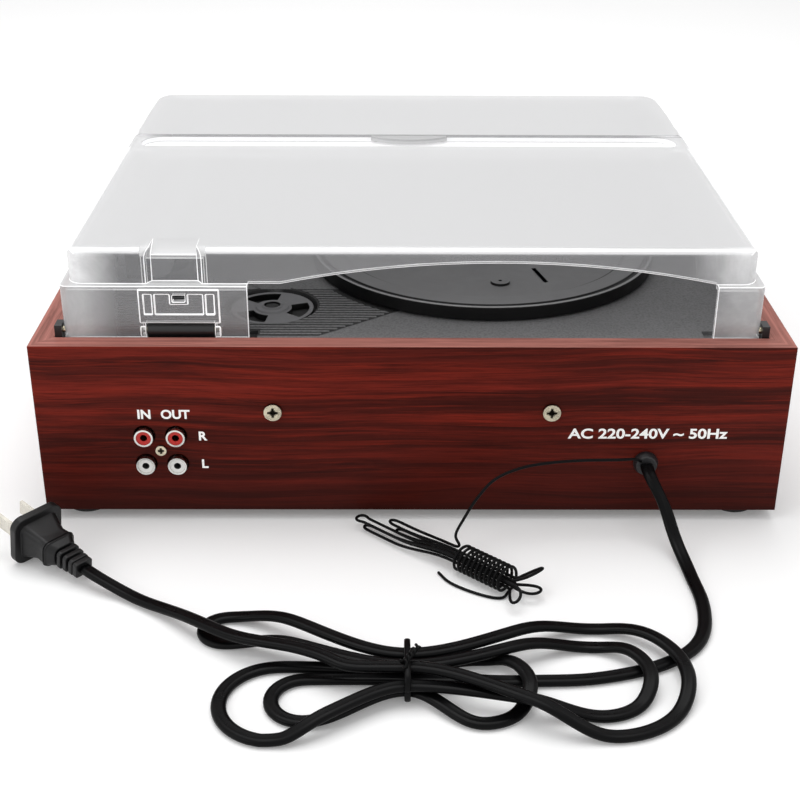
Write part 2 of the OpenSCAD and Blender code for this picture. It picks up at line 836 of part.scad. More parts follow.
module drive_belt() {
    color("#111111") translate([hub[0], hub[1], pulley_z + 0.5]) linear_extrude(belt_h) difference() {
        belt_outline(2 * run_fit + belt_t);
        belt_outline(2 * run_fit);
    }
}

// The spindle stands in the deck's boss; a record fits over its thinner upper part
tip_h = 3;
collar_h = 3;
hub_sink = 0.4;
shoulder_z = platter_top - hub_sink + rest_gap;

module spindle() {
    color("#d5d6d8") translate([hub[0], hub[1], 0]) {
        translate([0, 0, deck_z - boss_h - collar_h]) cylinder(h = collar_h, r = bearing_r + boss_wall);
        translate([0, 0, deck_z - boss_h - cut])
            cylinder(h = shoulder_z - deck_z + boss_h + cut, r = bearing_r);
        translate([0, 0, shoulder_z - cut])
            cylinder(h = platter_top + spindle_up - tip_h - shoulder_z + cut, r = spindle_d / 2);
        translate([0, 0, platter_top + spindle_up - tip_h])
            cylinder(h = tip_h, r1 = spindle_d / 2, r2 = spindle_d / 4);
    }
}

module thrust_washer() {
    color("#eeeeee") translate([hub[0], hub[1], deck_z]) difference() {
        cylinder(h = platter_gap - 0.1, r = bearing_r + boss_wall);
        translate([0, 0, -cut]) cylinder(h = platter_gap + 2 * cut, r = bearing_r + run_fit);
    }
}

// Rings on the platter's top: a thin outer lip, a groove, a flat record ring and a sunken field
rim_wall = 2.4;
lip_w = 1.6;
groove_ring = 2.2;
record_ring = 9;
field_drop = 1.1;
pad_at = [-5.5, 52.5];
pad_r = 4.5;
key_slot = [[22.7, 33], [27.2, 51]];

module platter() {
    top = platter_h;
    web_z = top - 2.6;
    color("#39393b") translate([hub[0], hub[1], platter_z]) difference() {
        union() {
            rotate_extrude($fn = 128) polygon([
                [bearing_r + run_fit, 0], [9, 0], [11, web_z], [drum_r - 2.4, web_z],
                [drum_r - 2.4, 0.2],
                [drum_r, 0.2], [drum_r, web_z], [platter_r - rim_wall, web_z], [platter_r - rim_wall, 0],
                [platter_r, 0], [platter_r, top - 0.4], [platter_r - 0.4, top], [platter_r - lip_w, top],
                [platter_r - lip_w - 0.3, top - 0.9], [platter_r - lip_w - groove_ring, top - 0.9],
                [platter_r - lip_w - groove_ring - 0.3, top - 0.2],
                [platter_r - lip_w - groove_ring - record_ring, top - 0.2],
                [platter_r - lip_w - groove_ring - record_ring - 1.2, top - field_drop],
                [14, top - field_drop], [13, top - hub_sink], [bearing_r + run_fit, top - hub_sink]]);
            translate([pad_at[0], pad_at[1], top - field_drop - 0.1]) cylinder(h = 1.5, r = pad_r);
        }
        translate([pad_at[0], pad_at[1], top - 3 - cut]) cylinder(h = 6, r = 0.8);
        translate([-key_slot[0][0], key_slot[0][1], top - 3 - cut])
            rotate(90 + atan2(key_slot[1][0] - key_slot[0][0], key_slot[1][1] - key_slot[0][1]))
                translate([0, -1, 0]) cube([norm(key_slot[1] - key_slot[0]), 2, 6]);
    }
}

// Tonearm: the base carries a yoke that swings, and the yoke carries the arm that lifts

arm_base_r = 15;
base_top = platter_top + 3.4;
yoke_r = 11;
yoke_gap = 5.6;
cheek_t = 2.6;
arm_pin_r = 1.2;
lift_reach = 30;
stem_r = 1.8;
lift_stem = pivot + lift_reach * [cos(243), sin(243)];
bar_z = arm_z - tube_r - rest_gap;

module arm_base() {
    h = base_top - deck_z;
    color("#26272a") translate([pivot[0], pivot[1], deck_z]) rotate_extrude() polygon([
        [arm_shaft_r + run_fit, 0], [arm_base_r, 0], [arm_base_r, 3], [arm_base_r - 2, 4.5],
        [arm_base_r - 2.6, h - 1], [arm_base_r - 3.6, h], [arm_shaft_r + run_fit, h]]);
}

module arm_yoke() {
    color("#3a3b3e") translate([pivot[0], pivot[1], 0]) difference() {
        union() {
            translate([0, 0, deck_z - boss_h])
                cylinder(h = base_top - deck_z + boss_h + 1, r = arm_shaft_r);
            translate([0, 0, base_top + rest_gap]) cylinder(h = 2, r = yoke_r);
            for (x = [-1, 1])
                translate([x * (yoke_gap + cheek_t / 2) - cheek_t / 2, -5, base_top + rest_gap])
                cube([cheek_t, 10, arm_z - base_top + 3]);
        }
        translate([0, 0, arm_z]) rod_x(arm_pin_r + run_fit, -yoke_r - cut, yoke_r + cut);
    }
}

// The tube runs forward to the headshell and back to a small counterweight
weight_r = 7;
weight_back = 13;
weight_len = 10;

module tonearm() {
    color("#b9babd") translate([pivot[0], pivot[1], arm_z]) {
        rod_y(tube_r, shell_len - arm_len - 12, 8);
        rod_y(weight_r, weight_back, weight_back + weight_len);
        rod_y(tube_r - 1, 7, weight_back + 1);
        rod_x(arm_pin_r, -yoke_gap - cheek_t, yoke_gap + cheek_t);
        rod_x(tube_r - 0.4, -yoke_gap + move_gap, yoke_gap - move_gap);
        translate([0, -arm_len + shell_len / 2 - 8, -tube_r]) difference() {
            linear_extrude(tube_r + 1) rounded_rect(shell_w, shell_len, 3);
            translate([0, 0, -cut]) linear_extrude(tube_r) rounded_rect(shell_w - 3, shell_len - 3, 2);
        }
        translate([shell_w / 2 - 1, -arm_len + 2, -0.5]) cube([9, 4, 1.2]);
    }
}

// The cartridge hangs in the headshell, with its stylus just above the height of a record
stylus_z = platter_top + 1.8;

module cartridge() {
    box_top = arm_z - 1;
    color("#7a1512") translate([pivot[0], pivot[1] - arm_len, 0]) {
        translate([-5.5, -5, stylus_z + 2]) cube([11, 20, box_top - stylus_z - 2]);
        translate([-2, -3, stylus_z + 1]) cube([4, 9, 2]);
        translate([0, 0, stylus_z]) cylinder(h = 2, r1 = 0.2, r2 = 0.6);
    }
}

// A curved bar under the arm lifts it at any place of its swing
module lift_bar() {
    bar = [2.4, 2];
    color("#8d8e90") {
        translate([pivot[0], pivot[1], bar_z - bar[1]]) rotate(214) rotate_extrude(angle = 58)
            translate([lift_reach - bar[0] / 2, 0]) square(bar);
        translate([lift_stem[0], lift_stem[1], deck_z - deck_t])
            cylinder(h = bar_z - 1 - deck_z + deck_t, r = stem_r);
    }
}

// The cue lever turns on a post beside the arm's base
lever_at = [pivot[0] + 17, pivot[1] - 12];
lever_z = deck_z + 9;
lever_post = [7, 6];
lever_len = 26;

module cue_lever() {
    color("#cfd0d2") translate([lever_at[0], lever_at[1], lever_z]) {
        difference() {
            rod_x(3.4, lever_post[0] / 2 + move_gap, lever_post[0] / 2 + move_gap + 3);
            rod_x(1.5 + run_fit, 0, lever_post[0] * 2);
        }
        translate([lever_post[0] / 2 + move_gap, -lever_len, 0]) cube([3, lever_len - 2.6, 2.6]);
    }
}

// The arm rest is open towards the platter; a hook on its outer side swings over the arm to hold it
rest_side = tube_r + 1;
rest_post_r = 3.6;
rest_w = 8;
clip_pin_r = 1.2;
clip_hub_r = 2;
clip_t = 1.6;
clip_open = 100;
clip_x = rest_at[0] + rest_side + clip_hub_r;
clip_z = arm_z - 1;
hook_z = arm_z + tube_r + move_gap - clip_z;

module arm_rest() {
    color("#26272a") {
        translate([clip_x, rest_at[1], deck_z])
            cylinder(h = arm_z - tube_r - rest_gap - 2.5 - deck_z, r = rest_post_r);
        translate([rest_at[0] - tube_r, rest_at[1] - rest_w / 2, arm_z - tube_r - rest_gap - 3])
            cube([2 * tube_r + 6, rest_w, 3]);
        translate([rest_at[0] + rest_side, rest_at[1] - rest_w / 2, arm_z - tube_r - rest_gap - 1])
            difference() {
            cube([4, rest_w, clip_z - arm_z + tube_r + rest_gap + 3]);
            translate([-cut, 2, clip_z - arm_z + tube_r + rest_gap - 2.4]) cube([6, rest_w - 4, rest_w]);
            translate([2, 0, clip_z - arm_z + tube_r + rest_gap + 1])
                rod_y(clip_pin_r + run_fit, -cut, rest_w + cut);
        }
        translate([lever_at[0] - lever_post[0] / 2, lever_at[1] - lever_post[1] / 2, deck_z])
            cube([lever_post[0], lever_post[1], 12]);
        translate([lever_at[0], lever_at[1], lever_z])
            rod_x(1.5, lever_post[0] / 2 - cut, lever_post[0] / 2 + move_gap + 4);
    }
}

// Drawn swung open
module arm_clip() {
    w = rest_w - 4 - 2 * move_gap;
    color("#404145") translate([clip_x, rest_at[1], clip_z]) rotate([0, clip_open, 0]) {
        rod_y(clip_pin_r, -rest_w / 2, rest_w / 2);
        rod_y(clip_hub_r, -w / 2, w / 2);
        translate([-clip_t / 2, -w / 2, 0]) cube([clip_t, w, hook_z + clip_t]);
        translate([rest_at[0] - clip_x - clip_t / 2, -w / 2, hook_z])
            cube([clip_x - rest_at[0] + clip_t, w, clip_t]);
    }
}

// Sliding switches on the deck
module deck_switch(at, cap) {
    translate([at[0], at[1], 0]) {
        translate([-switch_stem[0] / 2, -switch_stem[1] / 2, deck_z - deck_t])
            cube([switch_stem[0], switch_stem[1], deck_t + 1]);
        translate([0, 0, deck_z + rest_gap]) linear_extrude(3) rounded_rect(cap, 8, 2);
        translate([-0.8, -4, deck_z + rest_gap + 2]) cube([1.6, 8, 2]);
        translate([0, 0, deck_z - deck_t - rest_gap - 1.6]) linear_extrude(1.6) rounded_rect(cap, 8, 1);
        translate([-switch_stem[0] / 2, -switch_stem[1] / 2, deck_z - deck_t - 1])
            cube([switch_stem[0], switch_stem[1], 2]);
    }
}

module speed_lever() {
    color("#cfd0d2") deck_switch(selector_at, 11);
}

module autostop_switch() {
    color("#cfd0d2") deck_switch(autostop_at, 9);
}

// Lid

hood_rear = lid_rear - hood_step;
front_z = lid_top - front_drop;
slope_angle = atan2(front_drop, groove_front - lid_front);

// The lid seen from above, drawn in by inset
module lid_plan(half_w, rear, corner, inset) {
    w = half_w - inset;
    rf = front_round - inset;
    rr = max(0.5, corner - inset);
    y0 = lid_front + inset;
    y1 = rear - inset;
    translate([-w, y0 + rf]) square([2 * w, y1 - rr - y0 - rf]);
    translate([rf - w, y0]) square([2 * (w - rf), rf + cut]);
    translate([rr - w, y1 - rr - cut]) square([2 * (w - rr), rr + cut]);
    for (x = [-1, 1]) {
        translate([x * (w - rf), y0 + rf]) circle(rf);
        translate([x * (w - rr), y1 - rr]) circle(rr);
    }
}

// The hood seen from its side: rear wall, top, sloping front part and nose
function lid_side(inset) = let (lower = inset > 0 ? cut : 0) concat(
    [[hood_rear - inset, lid_bottom - lower]],
    arc([hood_rear - hood_round, lid_top - hood_round], hood_round - inset, 0, 90, 6),
    [[groove_front, lid_top - inset]],
    arc([lid_front + nose_round, front_z - nose_round], nose_round - inset, 90 + slope_angle, 180, 6),
    [[lid_front + inset, lid_bottom - lower]]);

// The lid seen from the front
module lid_front_view(inset) {
    w = hood_x - inset;
    r = hood_round - inset;
    translate([-w, lid_bottom - 2 * cut]) square([2 * w, lid_top - inset - r - lid_bottom + 2 * cut]);
    translate([r - w, lid_bottom]) square([2 * (w - r), lid_top - inset - lid_bottom]);
    for (x = [-1, 1]) translate([x * (w - r), lid_top - inset - r]) circle(r);
}

module lid_hood(inset) {
    intersection() {
        rotate([90, 0, 90]) translate([0, 0, -box_w / 2]) linear_extrude(box_w) polygon(lid_side(inset));
        translate([0, 0, lid_bottom - 2 * cut]) linear_extrude(lid_top)
            lid_plan(hood_x, hood_rear, hood_corner, inset);
        translate([0, box_d, 0]) rotate([90, 0, 0]) linear_extrude(2 * box_d) lid_front_view(inset);
    }
}

// The trough across the top, with round ends, and a shallow notch that runs out through the sides
groove_end = 7;
notch_depth = 1.2;

module lid_groove(outset) {
    r = groove_w / 2 + outset;
    x = hood_x - groove_end + outset - r;
    translate([0, groove_rear - groove_w / 2, lid_top - groove_depth - outset])
        linear_extrude(lid_top) hull() for (side = [-1, 1]) translate([side * x, 0]) circle(r);
}

module lid_notch() {
    translate([-box_w / 2, groove_rear - groove_w, lid_top - notch_depth])
        cube([box_w, groove_w, lid_top]);
}

// A splayed pocket in the hood's rear wall above the hinge; the top scoops down into it
pocket_left = hinge_x - 8;
pocket_right = hinge_x + 12;
pocket_in = 3.5;
pocket_splay = 2.7;
scoop_len = 13;
scoop_drop = 4;

module hood_pocket(outset) {
    back = hood_rear - pocket_in - outset;
    scoop = hood_rear - scoop_len - outset;
    left = pocket_left - outset;
    right = pocket_right + outset;
    intersection() {
        rotate([90, 0, 90]) translate([0, 0, left - 2 * pocket_splay])
            linear_extrude(right - left + 4 * pocket_splay) polygon([
            [hood_rear + cut, skirt_top - outset], [hood_rear + cut, lid_top + cut], [scoop, lid_top + cut],
            [scoop, lid_top - outset], [back, lid_top - scoop_drop - outset], [back, skirt_top - outset]]);
        translate([0, 0, lid_bottom]) linear_extrude(lid_top) polygon([
            [left - pocket_splay, hood_rear + cut], [left, back], [left, scoop - cut],
            [right, scoop - cut], [right, back], [right + pocket_splay, hood_rear + cut]]);
    }
}

module lid_skirt(inset) {
    lower = inset > 0 ? cut : 0;
    translate([0, 0, lid_bottom - lower]) linear_extrude(skirt_top - inset - lid_bottom + lower)
        lid_plan(lid_x, lid_rear, rear_round, inset);
}

// Rear cut-out: square below the step, and a flat arch above it
arch_half = (arch_turn - arch_left) / 2;
arch_mid = (arch_turn + arch_left) / 2;
arch_r = (arch_half * arch_half + arch_rise * arch_rise) / (2 * arch_rise);

module rear_arch() {
    translate([0, lid_rear + cut, 0]) rotate([90, 0, 0]) linear_extrude(lid_wall + hood_step + 2 * cut) {
        translate([arch_left, lid_bottom - cut])
            square([arch_right - arch_left, skirt_top - lid_bottom + cut]);
        intersection() {
            translate([arch_left, skirt_top - cut]) square([2 * arch_half, arch_rise + 2 * cut]);
            translate([arch_mid, skirt_top + arch_rise - arch_r]) circle(arch_r, $fn = 256);
        }
    }
}

// Clear ears beside the hinge block carry the hinge pin
ear_t = 2.3;
ear_r = 3.4;
hinge_lip = axis_z + knuckle_d / 2 + 1;
frame_out = 0.7;
frame_w = 2;
frame_foot = 4;
frame_rib = 1.2;
pocket_top = skirt_top - 1.5;
rib_out = 11;
window = [5.4, 3];
window_z = skirt_top - 7;
tab_w = 40;
tab_r = 34;
tab_out = 8;

module hinge_ear(x0) {
    translate([x0, 0, 0]) {
        translate([0, axis_y, axis_z]) rod_x(ear_r, 0, ear_t);
        translate([0, axis_y - 1, axis_z - ear_r]) cube([ear_t, axis_in + 0.5, 2 * ear_r + 4]);
    }
}

module lid_cover() {
    ear_left = hinge_x - hinge_w / 2 - move_gap - ear_t;
    ear_right = hinge_x + hinge_w / 2 + move_gap;
    frame_size = [ear_right + ear_t - ear_left, pocket_top - hinge_lip];
    color("#dfe3e6", 0.45) difference() {
        union() {
            difference() {
                union() {
                    lid_skirt(0);
                    lid_hood(0);
                }
                lid_skirt(lid_wall);
                difference() {
                    lid_hood(lid_wall);
                    lid_groove(lid_wall);
                    hood_pocket(lid_wall);
                }
                lid_groove(0);
                hood_pocket(0);
                lid_notch();
            }
            for (x = [ear_left, ear_right]) hinge_ear(x);
            // A raised frame above the hinge block, with two ribs and a rim round the window
            translate([0, lid_rear + frame_out, 0]) rotate([90, 0, 0]) linear_extrude(frame_out + cut) {
                difference() {
                    translate([ear_left, hinge_lip]) square(frame_size);
                    translate([ear_left + frame_w, hinge_lip + frame_foot])
                        square(frame_size - [2 * frame_w, frame_w + frame_foot]);
                }
                for (x = [-1, 1]) translate([hinge_x + x * rib_out - frame_rib / 2, hinge_lip + cut])
                    square([frame_rib, frame_size[1] - 2 * cut]);
                translate([hinge_x - window[0] / 2 - frame_rib, window_z - frame_rib])
                    square(window + [2 * frame_rib, 2 * frame_rib]);
            }
            // A finger tab on the front edge of the groove
            translate([0, 0, lid_top - 3]) linear_extrude(2.5) intersection() {
                translate([-tab_w / 2, groove_front - 1]) square([tab_w, groove_w]);
                translate([0, groove_front + tab_out - tab_r]) circle(tab_r);
            }
        }
        rear_arch();
        // Opening for the hinge block and the small window above it
        translate([hinge_x - hinge_w / 2 - move_gap, lid_rear - lid_wall - cut, lid_bottom - cut])
            cube([hinge_w + 2 * move_gap, lid_wall + 2 * cut, hinge_lip - lid_bottom + cut]);
        translate([hinge_x - window[0] / 2, lid_rear - lid_wall - cut, window_z])
            cube([window[0], lid_wall + frame_out + 2 * cut, window[1]]);
        translate([0, axis_y, axis_z]) {
            rod_x(hinge_pin_d / 2 + run_fit, ear_left - cut, ear_right + ear_t + cut);
            for (x = [-1, 1]) translate([x * (lid_x - lid_wall / 2), 0, 0])
                rod_x(pivot_pin_d / 2 + run_fit, -lid_wall, lid_wall);
        }
    }
}

// Hinge parts that stay on the box

module hinge_block() {
    color("#171718") translate([hinge_x, axis_y, axis_z]) difference() {
        union() {
            rod_x(knuckle_d / 2, -hinge_w / 2, hinge_w / 2);
            translate([-hinge_w / 2, -knuckle_d / 2, pocket_z - axis_z])
                cube([hinge_w, knuckle_d / 2 + 1.6, axis_z - pocket_z]);
        }
        rod_x(hinge_pin_d / 2 + held_fit, -hinge_w, hinge_w);
    }
}

bracket_t = lid_side_gap - move_gap;
bracket_len = 7;

module pivot_brackets() {
    color("#171718") for (x = [-1, 1]) difference() {
        translate([x * (in_w - bracket_t) / 2 - bracket_t / 2, axis_y - bracket_len / 2, pocket_z])
            cube([bracket_t, bracket_len, axis_z + 3 - pocket_z]);
        translate([x * in_w / 2, axis_y, axis_z])
            rod_x(pivot_pin_d / 2 + held_fit, -2 * bracket_t, 2 * bracket_t);
    }
}

module hinge_pins() {
    pin_half = hinge_w / 2 + move_gap + ear_t + 0.5;
    pivot_half = (in_w / 2 - lid_x + lid_wall + 1) / 2;
    color("#c8c2a6") {
        translate([hinge_x, axis_y, axis_z]) rod_x(hinge_pin_d / 2, -pin_half, pin_half);
        for (x = [-1, 1]) translate([x * (in_w / 2 + lid_x - lid_wall - 1) / 2, axis_y, axis_z])
            rod_x(pivot_pin_d / 2, -pivot_half, pivot_half);
    }
}

// Leads

// A smooth curve through hand-placed points, with steps short pieces between each two
function curve(p, steps) = let (n = len(p)) concat(
    [for (i = [0:n - 2], k = [0:steps - 1]) let (
        a = p[max(0, i - 1)], b = p[i], c = p[i + 1], d = p[min(n - 1, i + 2)], t = k / steps)
        b + 0.5 * t * ((c - a) + t * ((2 * a - 5 * b + 4 * c - d) + t * (3 * b - a - 3 * c + d)))],
    [p[n - 1]]);

function tangents(p) = [for (i = [0:len(p) - 1]) unit(p[min(len(p) - 1, i + 1)] - p[max(0, i - 1)])];

// The width direction at each point: level for a flat lead, and without twist for a round wire
function level_sides(p) = [for (t = tangents(p)) unit([t[1], -t[0], 0])];
function carried_sides(p) = let (ts = tangents(p), n = len(p)) [
    for (i = 0, s = unit(cross(ts[0], [0.2, 0.1, 1])); i < n;
        i = i + 1, s = i < n ? unit(s - ts[i] * (s * ts[i])) : s) s];

// One closed tube: an oval ring of the given width and height at every point, and two flat ends
module lead(p, sides, w, h, n) {
    ts = tangents(p);
    rings = [for (i = [0:len(p) - 1], k = [0:n - 1]) let (a = 360 * (k + 0.5) / n)
        p[i] + sides[i] * (w / 2 * cos(a)) + cross(ts[i], sides[i]) * (h / 2 * sin(a))];
    last = (len(p) - 1) * n;
    polyhedron(rings, concat(
        [for (i = [0:len(p) - 2], k = [0:n - 1], half = [0, 1]) let (
            a = i * n + k, b = i * n + (k + 1) % n) half == 0 ? [a, b + n, b] : [a, a + n, b + n]],
        [for (k = [1:n - 2]) [0, k, k + 1]],
        [for (k = [1:n - 2]) [last, last + k + 1, last + k]]));
}

// The least distance between the surfaces of two stretches that lie apart along one tube,
// measured between its points, with heights stretched so that an oval counts as round
function self_gap(p, w, h, apart) = let (k = w / h, n = len(p)) min([
    for (i = [0:n - 1]) for (j = [i + apart:1:n - 1])
        norm([p[i][0] - p[j][0], p[i][1] - p[j][1], (p[i][2] - p[j][2]) * k])]) - w;

// Mains lead: out of the gland, down to the surface and round to the waist of the hank
hank_at = [3, 284];
lift = 2;
lie_gap = 0.05;
lying = lead_t / 2 + lie_gap;
row = lead_t + 0.8;
column = lead_w + 0.8;
joint_u = 18;
mains_route = [
    [gland_x, rear_y + gland_out, gland_z], [gland_x, rear_y + gland_out + 2, gland_z],
    [gland_x, 171, gland_z - 0.3], [-105, 175, 28], [-108, 178.5, 23], [-111, 182, 17],
    [-113, 187, 11], [-115, 194, 6], [-117, 203, 2.9], [-118, 214, lying + 0.3], [-119, 227, lying + 0.06],
    [-118, 240, lying], [-115, 252, lying], [-109, 262, lying], [-99, 270, lying], [-86, 276, lying],
    [-66, 281, lying], [-46, 282, lying],
    [-31, 283, lying + 0.6], [-22, 284, lying + lift], [hank_at[0] - joint_u, hank_at[1], lying + lift]];

module mains_lead() {
    p = curve(mains_route, 2);
    color("#151515") lead(p, level_sides(p), lead_w, lead_t, 8);
}

// The waist's seven places, as steps across and rows up, and the six loops between them in turn: side,
// reach, half width, middle, edge taken first and the angle of the hump over the incoming lead
waist = [[0, 0], [1, 0], [-1, 0], [1.4, 1], [-0.7, 1], [-1.9, 1], [0.3, 2]];
loops = [[1, 51, 12.5, 9.5, -1, 0], [-1, 46, 19, 4, 1, 107], [1, 70, 21.5, 11, -1, 0],
    [-1, 92, 21, -2, 1, 108], [1, 81, 9, -34, 1, 0], [-1, 106, 32.5, -2.5, -1, 66]];
leg_steps = 10;
tip_steps = 12;
hold = 0.62;

// A leg from the waist to its loop's tip spreads sideways all the way; an upper one sinks late
function leg_point(side, place, run, u, edge) = let (
        w = waist[place], start = w[1] > 0 ? hold * run : 6)
    [side * u, mix(w[0] * column, edge, ease(u / run)),
        lying + (lift + w[1] * row) * (1 - ease((u - start) / (run - start)))];

function loop_points(i) = let (
        l = loops[i], side = l[0], half = l[2], out = l[4], run = l[1] - half, over = side < 0 ? row : 0)
    concat(
    [for (k = [0:leg_steps]) leg_point(side, i, run, run * k / leg_steps, l[3] + out * half)],
    [for (k = [1:tip_steps - 1]) let (a = 180 * k / tip_steps)
        [side * (run + half * sin(a)), l[3] + out * half * cos(a),
            lying + over * ease((cos(a - l[5]) - 0.7) / 0.2)]],
    [for (k = [leg_steps:-1:1]) leg_point(side, i + 1, run, run * k / leg_steps, l[3] - out * half)]);

function hank_points() = [for (q = concat(
        [[-joint_u, 0, lying + lift], [-joint_u / 2, 0, lying + lift]],
        [for (i = [0:len(loops) - 1]) each loop_points(i)],
        [[0, waist[6][0] * column, lying + lift + waist[6][1] * row],
            [joint_u / 2, waist[6][0] * column, lying + lift + waist[6][1] * row],
            [joint_u, waist[6][0] * column, lying + lift + waist[6][1] * row]]))
    [hank_at[0] + q[0], hank_at[1] + q[1], q[2]]];

module mains_hank() {
    p = hank_points();
    echo(mains_hank_gap = self_gap(p, lead_w, lead_t, 6));
    color("#151515") lead(p, level_sides(p), lead_w, lead_t, 8);
}

// A wire tie round the waist, with its twisted ends lying on top
tie_t = 1.2;
tie_w = 2.6;

module hank_tie() {
    inner = [(waist[3][0] - waist[5][0]) * column + lead_w + 1.2, 2 * row + lead_t + 1.2];
    middle = (waist[3][0] + waist[5][0]) / 2 * column;
    color("#0e0e0e") translate([hank_at[0], hank_at[1] + middle, lift - 0.6 + inner[1] / 2]) {
        rotate([90, 0, 90]) translate([0, 0, -tie_w / 2]) linear_extrude(tie_w) difference() {
            rounded_rect(inner[0] + 2 * tie_t, inner[1] + 2 * tie_t, 4 + tie_t);
            rounded_rect(inner[0], inner[1], 4);
        }
        translate([0, 4, inner[1] / 2 + tie_t - 0.3]) rotate([0, 0, 20]) rotate([0, -80, 0])
            cylinder(h = 11, r = 1.1);
    }
}

// From the hank to the plug
plug_at = [163.5, 192];
plug_turn = 140;
plug_tilt = 9;
plug_len = 34;
plug_z = 12.1;
plug_way = [cos(plug_turn) * cos(plug_tilt), sin(plug_turn) * cos(plug_tilt), -sin(plug_tilt)];
plug_exit = [plug_at[0], plug_at[1], plug_z] + plug_len * plug_way;
top_row = lying + lift + waist[6][1] * row;
plug_route = [
    [hank_at[0] + joint_u, hank_at[1] + waist[6][0] * column, top_row],
    [hank_at[0] + joint_u + 6, hank_at[1] + waist[6][0] * column - 1, top_row],
    [35, 279, 11.3], [46, 273, 10.6], [57, 268.5, 9.5], [67, 264.5, 8.6], [76, 259, 7.8], [84, 252.5, 7],
    [92, 245.5, 5.6], [101, 238, 3.6], [111, 231, 2.4], [120, 225, 3],
    plug_exit + 8 * plug_way + [0, 0, 0.6], plug_exit];

module plug_lead() {
    p = curve(plug_route, 2);
    color("#151515") lead(p, level_sides(p), lead_w, lead_t, 8);
}

// A moulded two-blade plug: flange, grip drawn in behind it, ridge, slotted strain relief and end block
flange = [24.5, 23, 3.6];
blade = [1.5, 6.4, 17];
blade_pitch = 12.7;
relief_len = 13;
relief_core = [6.6, 4.8];
ring_pitch = 3.4;
ring_t = 2.2;
end_len = 2.6;
lead_gap = 0.2;

module at_plug() {
    translate([plug_at[0], plug_at[1], plug_z]) rotate(plug_turn) rotate([0, plug_tilt, 0])
        rotate([90, 0, 90]) children();
}

// A grip's piece between two cross-sections
module grip_piece(z0, size0, z1, size1) {
    hull() {
        translate([0, 0, z0]) linear_extrude(0.1) rounded_rect(size0[0], size0[1], 3);
        translate([0, 0, z1 - 0.1]) linear_extrude(0.1) rounded_rect(size1[0], size1[1], 3);
    }
}

module plug() {
    grip = plug_len - flange[2] - relief_len;
    $fn = 20;
    color("#121212") at_plug() {
        linear_extrude(flange[2]) rounded_rect(flange[0], flange[1], 5);
        grip_piece(flange[2] - cut, [19, 17], flange[2] + 0.45 * grip, [14.5, 11.5]);
        grip_piece(flange[2] + 0.45 * grip - cut, [14.5, 11.5], flange[2] + 0.8 * grip, [15.5, 12]);
        grip_piece(flange[2] + 0.8 * grip - cut, [15.5, 12], flange[2] + grip, [11, 9]);
        translate([0, 0, flange[2] + grip]) {
            translate([0, 0, -cut]) linear_extrude(relief_len - lead_gap + cut)
                rounded_rect(relief_core[0], relief_core[1], 1.2);
            for (i = [0:2]) translate([0, 0, 1 + i * ring_pitch])
                linear_extrude(ring_t) rounded_rect(10.4 - i * 0.6, 8.4 - i * 0.5, 1.6);
            translate([0, 0, relief_len - lead_gap - end_len])
                linear_extrude(end_len) rounded_rect(8.6, 7, 1.2);
        }
    }
}

module plug_blades() {
    color("#c9c9c6") at_plug() for (x = [-1, 1])
        translate([x * blade_pitch / 2 - blade[0] / 2, -blade[1] / 2, -blade[2]]) cube(blade);
}

// Aerial wire: from the gland along the rear board and down to its bundle
bundle_a = [18, 169];
bundle_b = [-43, 224];
bundle_len = norm(bundle_b - bundle_a);
bundle_way = (bundle_b - bundle_a) / bundle_len;
bundle_across = [-bundle_way[1], bundle_way[0]];
wind_start = 52;
wind_end = 78;
wind_r = 5.6;
wind_step = 10;
bundle_z = wind_r + wire_d / 2 + 0.2;
spread_z = 3.4;

// A place in the bundle: s along it, and the distances across and up from its middle
function bundle_point(s, across, up, z) = [
    bundle_a[0] + bundle_way[0] * s + bundle_across[0] * across,
    bundle_a[1] + bundle_way[1] * s + bundle_across[1] * across,
    z + up];

// The strands lie in two rows; they are close together under the winding and spread out at both ends
rows = wire_loops;
function strand_point(i, s) = let (
        left = ease((wind_start - 4 - s) / 30), right = ease((s - wind_end - 1) / 6),
        pitch = mix(mix(wire_d + 0.8, 3.6, left), 2.6, right),
        height = mix(mix(wire_d + 0.1, 1.6, left), 1.9, right),
        column = i < rows ? i : 2 * rows - 1 - i)
    bundle_point(s, ((rows - 1) / 2 - column) * pitch, i < rows ? height : -height,
        mix(bundle_z, spread_z, left));

// Strand 0 comes from the gland and goes to the left tips; the last one leaves them for the winding
first_s = 46;
last_s = 33;
run_steps = 10;
turn_steps = 6;

// The turns between the strands, in two patterns taken in order at each end: the place along the bundle
// and the loop's reach along, across and up, and its half width
left_turns = [[12, -4, 0, 0, 0], [0, -5, 0, 0, 1.2], [3, -4, 0, 0, 0], [16, -4, 0, 0, 0]];
right_turns = [[81, 5, 11, 1.5, 3.5], [81, 8, -5, -1, 3], [81, 10, 4, -0.5, 2.5]];
function turn_of(i) = let (list = i % 2 == 0 ? left_turns : right_turns) list[floor(i / 2) % len(list)];

function strand_run(i) = let (
        from = i == 0 ? first_s : turn_of(i - 1)[0], to = i == 2 * rows - 1 ? last_s : turn_of(i)[0])
    [for (k = [0:run_steps]) strand_point(i, mix(from, to, k / run_steps))];

// A turn is half an ellipse that swells on both sides into an open loop
function strand_turn(i) = let (
        t = turn_of(i), p = strand_point(i, t[0]), q = strand_point(i + 1, t[0]),
        reach = concat(bundle_way * t[1] + bundle_across * t[2], [t[3]]),
        side = concat(bundle_across, [0]), swell = (q - p) * side > 0.1 ? t[4] : -t[4],
        steps = t[4] > 2 ? 2 * turn_steps : turn_steps)
    [for (k = [1:steps - 1]) let (a = 180 * k / steps)
        mix(p, q, (1 - cos(a)) / 2) + reach * sin(a) - side * (swell * sin(2 * a))];

